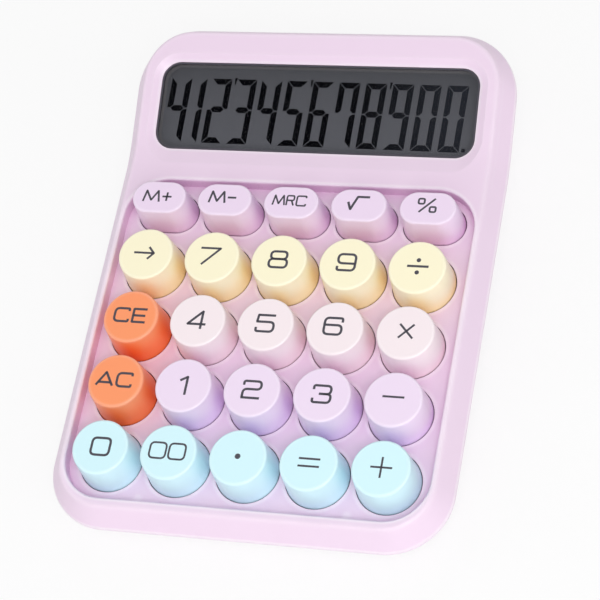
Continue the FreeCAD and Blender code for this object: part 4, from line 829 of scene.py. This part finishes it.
def make_mat():
    """The sheet with a hole at each key and screw, and its domes."""
    base = mat_frame()
    to_mat = base.inverted()
    spots = [to_mat @ key_frame(node)[1] / MM for node in LEGENDS]
    outline = [tuple(point) for point in rounded(box_path(*MAT_OUTLINE), MAT_CORNER, CLOSED)]
    holes = [ring(x, y, HOLE_RADIUS, HOLE_SIDES) for x, y in [spot.xy for spot in spots] + SCREW_SPOTS]
    mesh = flat_curve([outline] + holes, MAT_THICKNESS)
    sink = Matrix.Translation((0, 0, -MAT_THICKNESS * MM / 2))
    sheet = make_piece("mat_sheet", mesh, base @ sink, MAT_RUBBER, "case")
    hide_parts("key_mat")
    for node in LEGENDS:
        make_dome(node, base)


make_mat()


# Camera and light
CAMERA_PLACE = (0.19963, -0.32355, 0.54984)
CAMERA_TURN = (32.8523, 13.2482, 11.9625)
CAMERA_LENS = 137.75
# Each lamp's place, diameter and power; all of them face the middle of the part
LAMPS = {
    "softbox_high": ((0.36, -0.58, 0.99), 0.5, 5.1),
    "softbox_front": ((0.1, -1.0, 0.6), 0.9, 1.9),
    "softbox_right": ((0.85, -0.58, 0.66), 0.8, 2.5),
    "softbox_left": ((-0.9, -0.25, 0.6), 0.7, 1.0),
    "softbox_back": ((-0.25, 1.0, 0.8), 0.8, 1.3),
}
SKY_LIGHT = 0.44
FLOOR_HALF = 3.0
FLOOR_DROP = 0.0002
FLOOR_GLOW = 0.8


def make_camera():
    camera = bpy.data.objects.new("camera", bpy.data.cameras.new("camera"))
    camera.data.sensor_width = 36
    camera.data.lens = CAMERA_LENS
    camera.data.clip_start = 0.01
    camera.location = CAMERA_PLACE
    camera.rotation_euler = tuple(math.radians(angle) for angle in CAMERA_TURN)
    bpy.context.collection.objects.link(camera)
    bpy.context.scene.camera = camera


def make_lamp(name, place, diameter, power):
    lamp = bpy.data.objects.new(name, bpy.data.lights.new(name, "AREA"))
    lamp.data.shape = "DISK"
    lamp.data.size = diameter
    lamp.data.energy = power
    lamp.location = place
    lamp.rotation_euler = (-Vector(place)).to_track_quat("-Z", "Y").to_euler()
    bpy.context.collection.objects.link(lamp)


def seen_rays(nodes, links):
    """1 for rays that reach the eye straight, by a reflection or through the pane."""
    path = nodes.new("ShaderNodeLightPath")
    total = path.outputs["Is Camera Ray"]
    for name in ("Is Glossy Ray", "Is Transmission Ray"):
        add = nodes.new("ShaderNodeMath")
        add.operation = "ADD"
        add.use_clamp = True
        links.new(total, add.inputs[0])
        links.new(path.outputs[name], add.inputs[1])
        total = add.outputs["Value"]
    return total


def make_world():
    """White to the eye and in reflections, a softer grey as a light."""
    world = bpy.data.worlds.new("studio")
    bpy.context.scene.world = world
    world.use_nodes = True
    nodes, links = world.node_tree.nodes, world.node_tree.links
    light = nodes["Background"]
    light.inputs["Color"].default_value = WHITE
    light.inputs["Strength"].default_value = SKY_LIGHT
    seen = nodes.new("ShaderNodeBackground")
    seen.inputs["Color"].default_value = WHITE
    seen.inputs["Strength"].default_value = 1.0
    mix = nodes.new("ShaderNodeMixShader")
    links.new(seen_rays(nodes, links), mix.inputs["Fac"])
    links.new(light.outputs["Background"], mix.inputs[1])
    links.new(seen.outputs["Background"], mix.inputs[2])
    links.new(mix.outputs["Shader"], nodes["World Output"].inputs["Surface"])


def make_floor():
    """A white floor that keeps a light shadow."""
    work = bmesh.new()
    bmesh.ops.create_grid(work, x_segments=2, y_segments=2, size=FLOOR_HALF)
    mesh = bpy.data.meshes.new("floor")
    work.to_mesh(mesh)
    work.free()
    floor = bpy.data.objects.new("floor", mesh)
    floor.location.z = -FLOOR_DROP
    bpy.context.collection.objects.link(floor)
    material = bpy.data.materials.new("floor_white")
    material.use_nodes = True
    nodes, links = material.node_tree.nodes, material.node_tree.links
    bsdf = nodes["Principled BSDF"]
    bsdf.inputs["Base Color"].default_value = (0.9, 0.9, 0.9, 1)
    bsdf.inputs["Roughness"].default_value = 0.9
    bsdf.inputs["Specular IOR Level"].default_value = 0.0
    glow = nodes.new("ShaderNodeEmission")
    glow.inputs["Strength"].default_value = 1.0
    share = nodes.new("ShaderNodeMath")
    share.operation = "MULTIPLY"
    share.inputs[1].default_value = FLOOR_GLOW
    mix = nodes.new("ShaderNodeMixShader")
    links.new(seen_rays(nodes, links), share.inputs[0])
    links.new(share.outputs["Value"], mix.inputs["Fac"])
    links.new(bsdf.outputs["BSDF"], mix.inputs[1])
    links.new(glow.outputs["Emission"], mix.inputs[2])
    links.new(mix.outputs["Shader"], nodes["Material Output"].inputs["Surface"])
    mesh.materials.append(material)


make_camera()
make_world()
make_floor()
for lamp_name, (lamp_place, lamp_diameter, lamp_power) in LAMPS.items():
    make_lamp(lamp_name, lamp_place, lamp_diameter, lamp_power)
bpy.context.scene.view_settings.view_transform = "Standard"
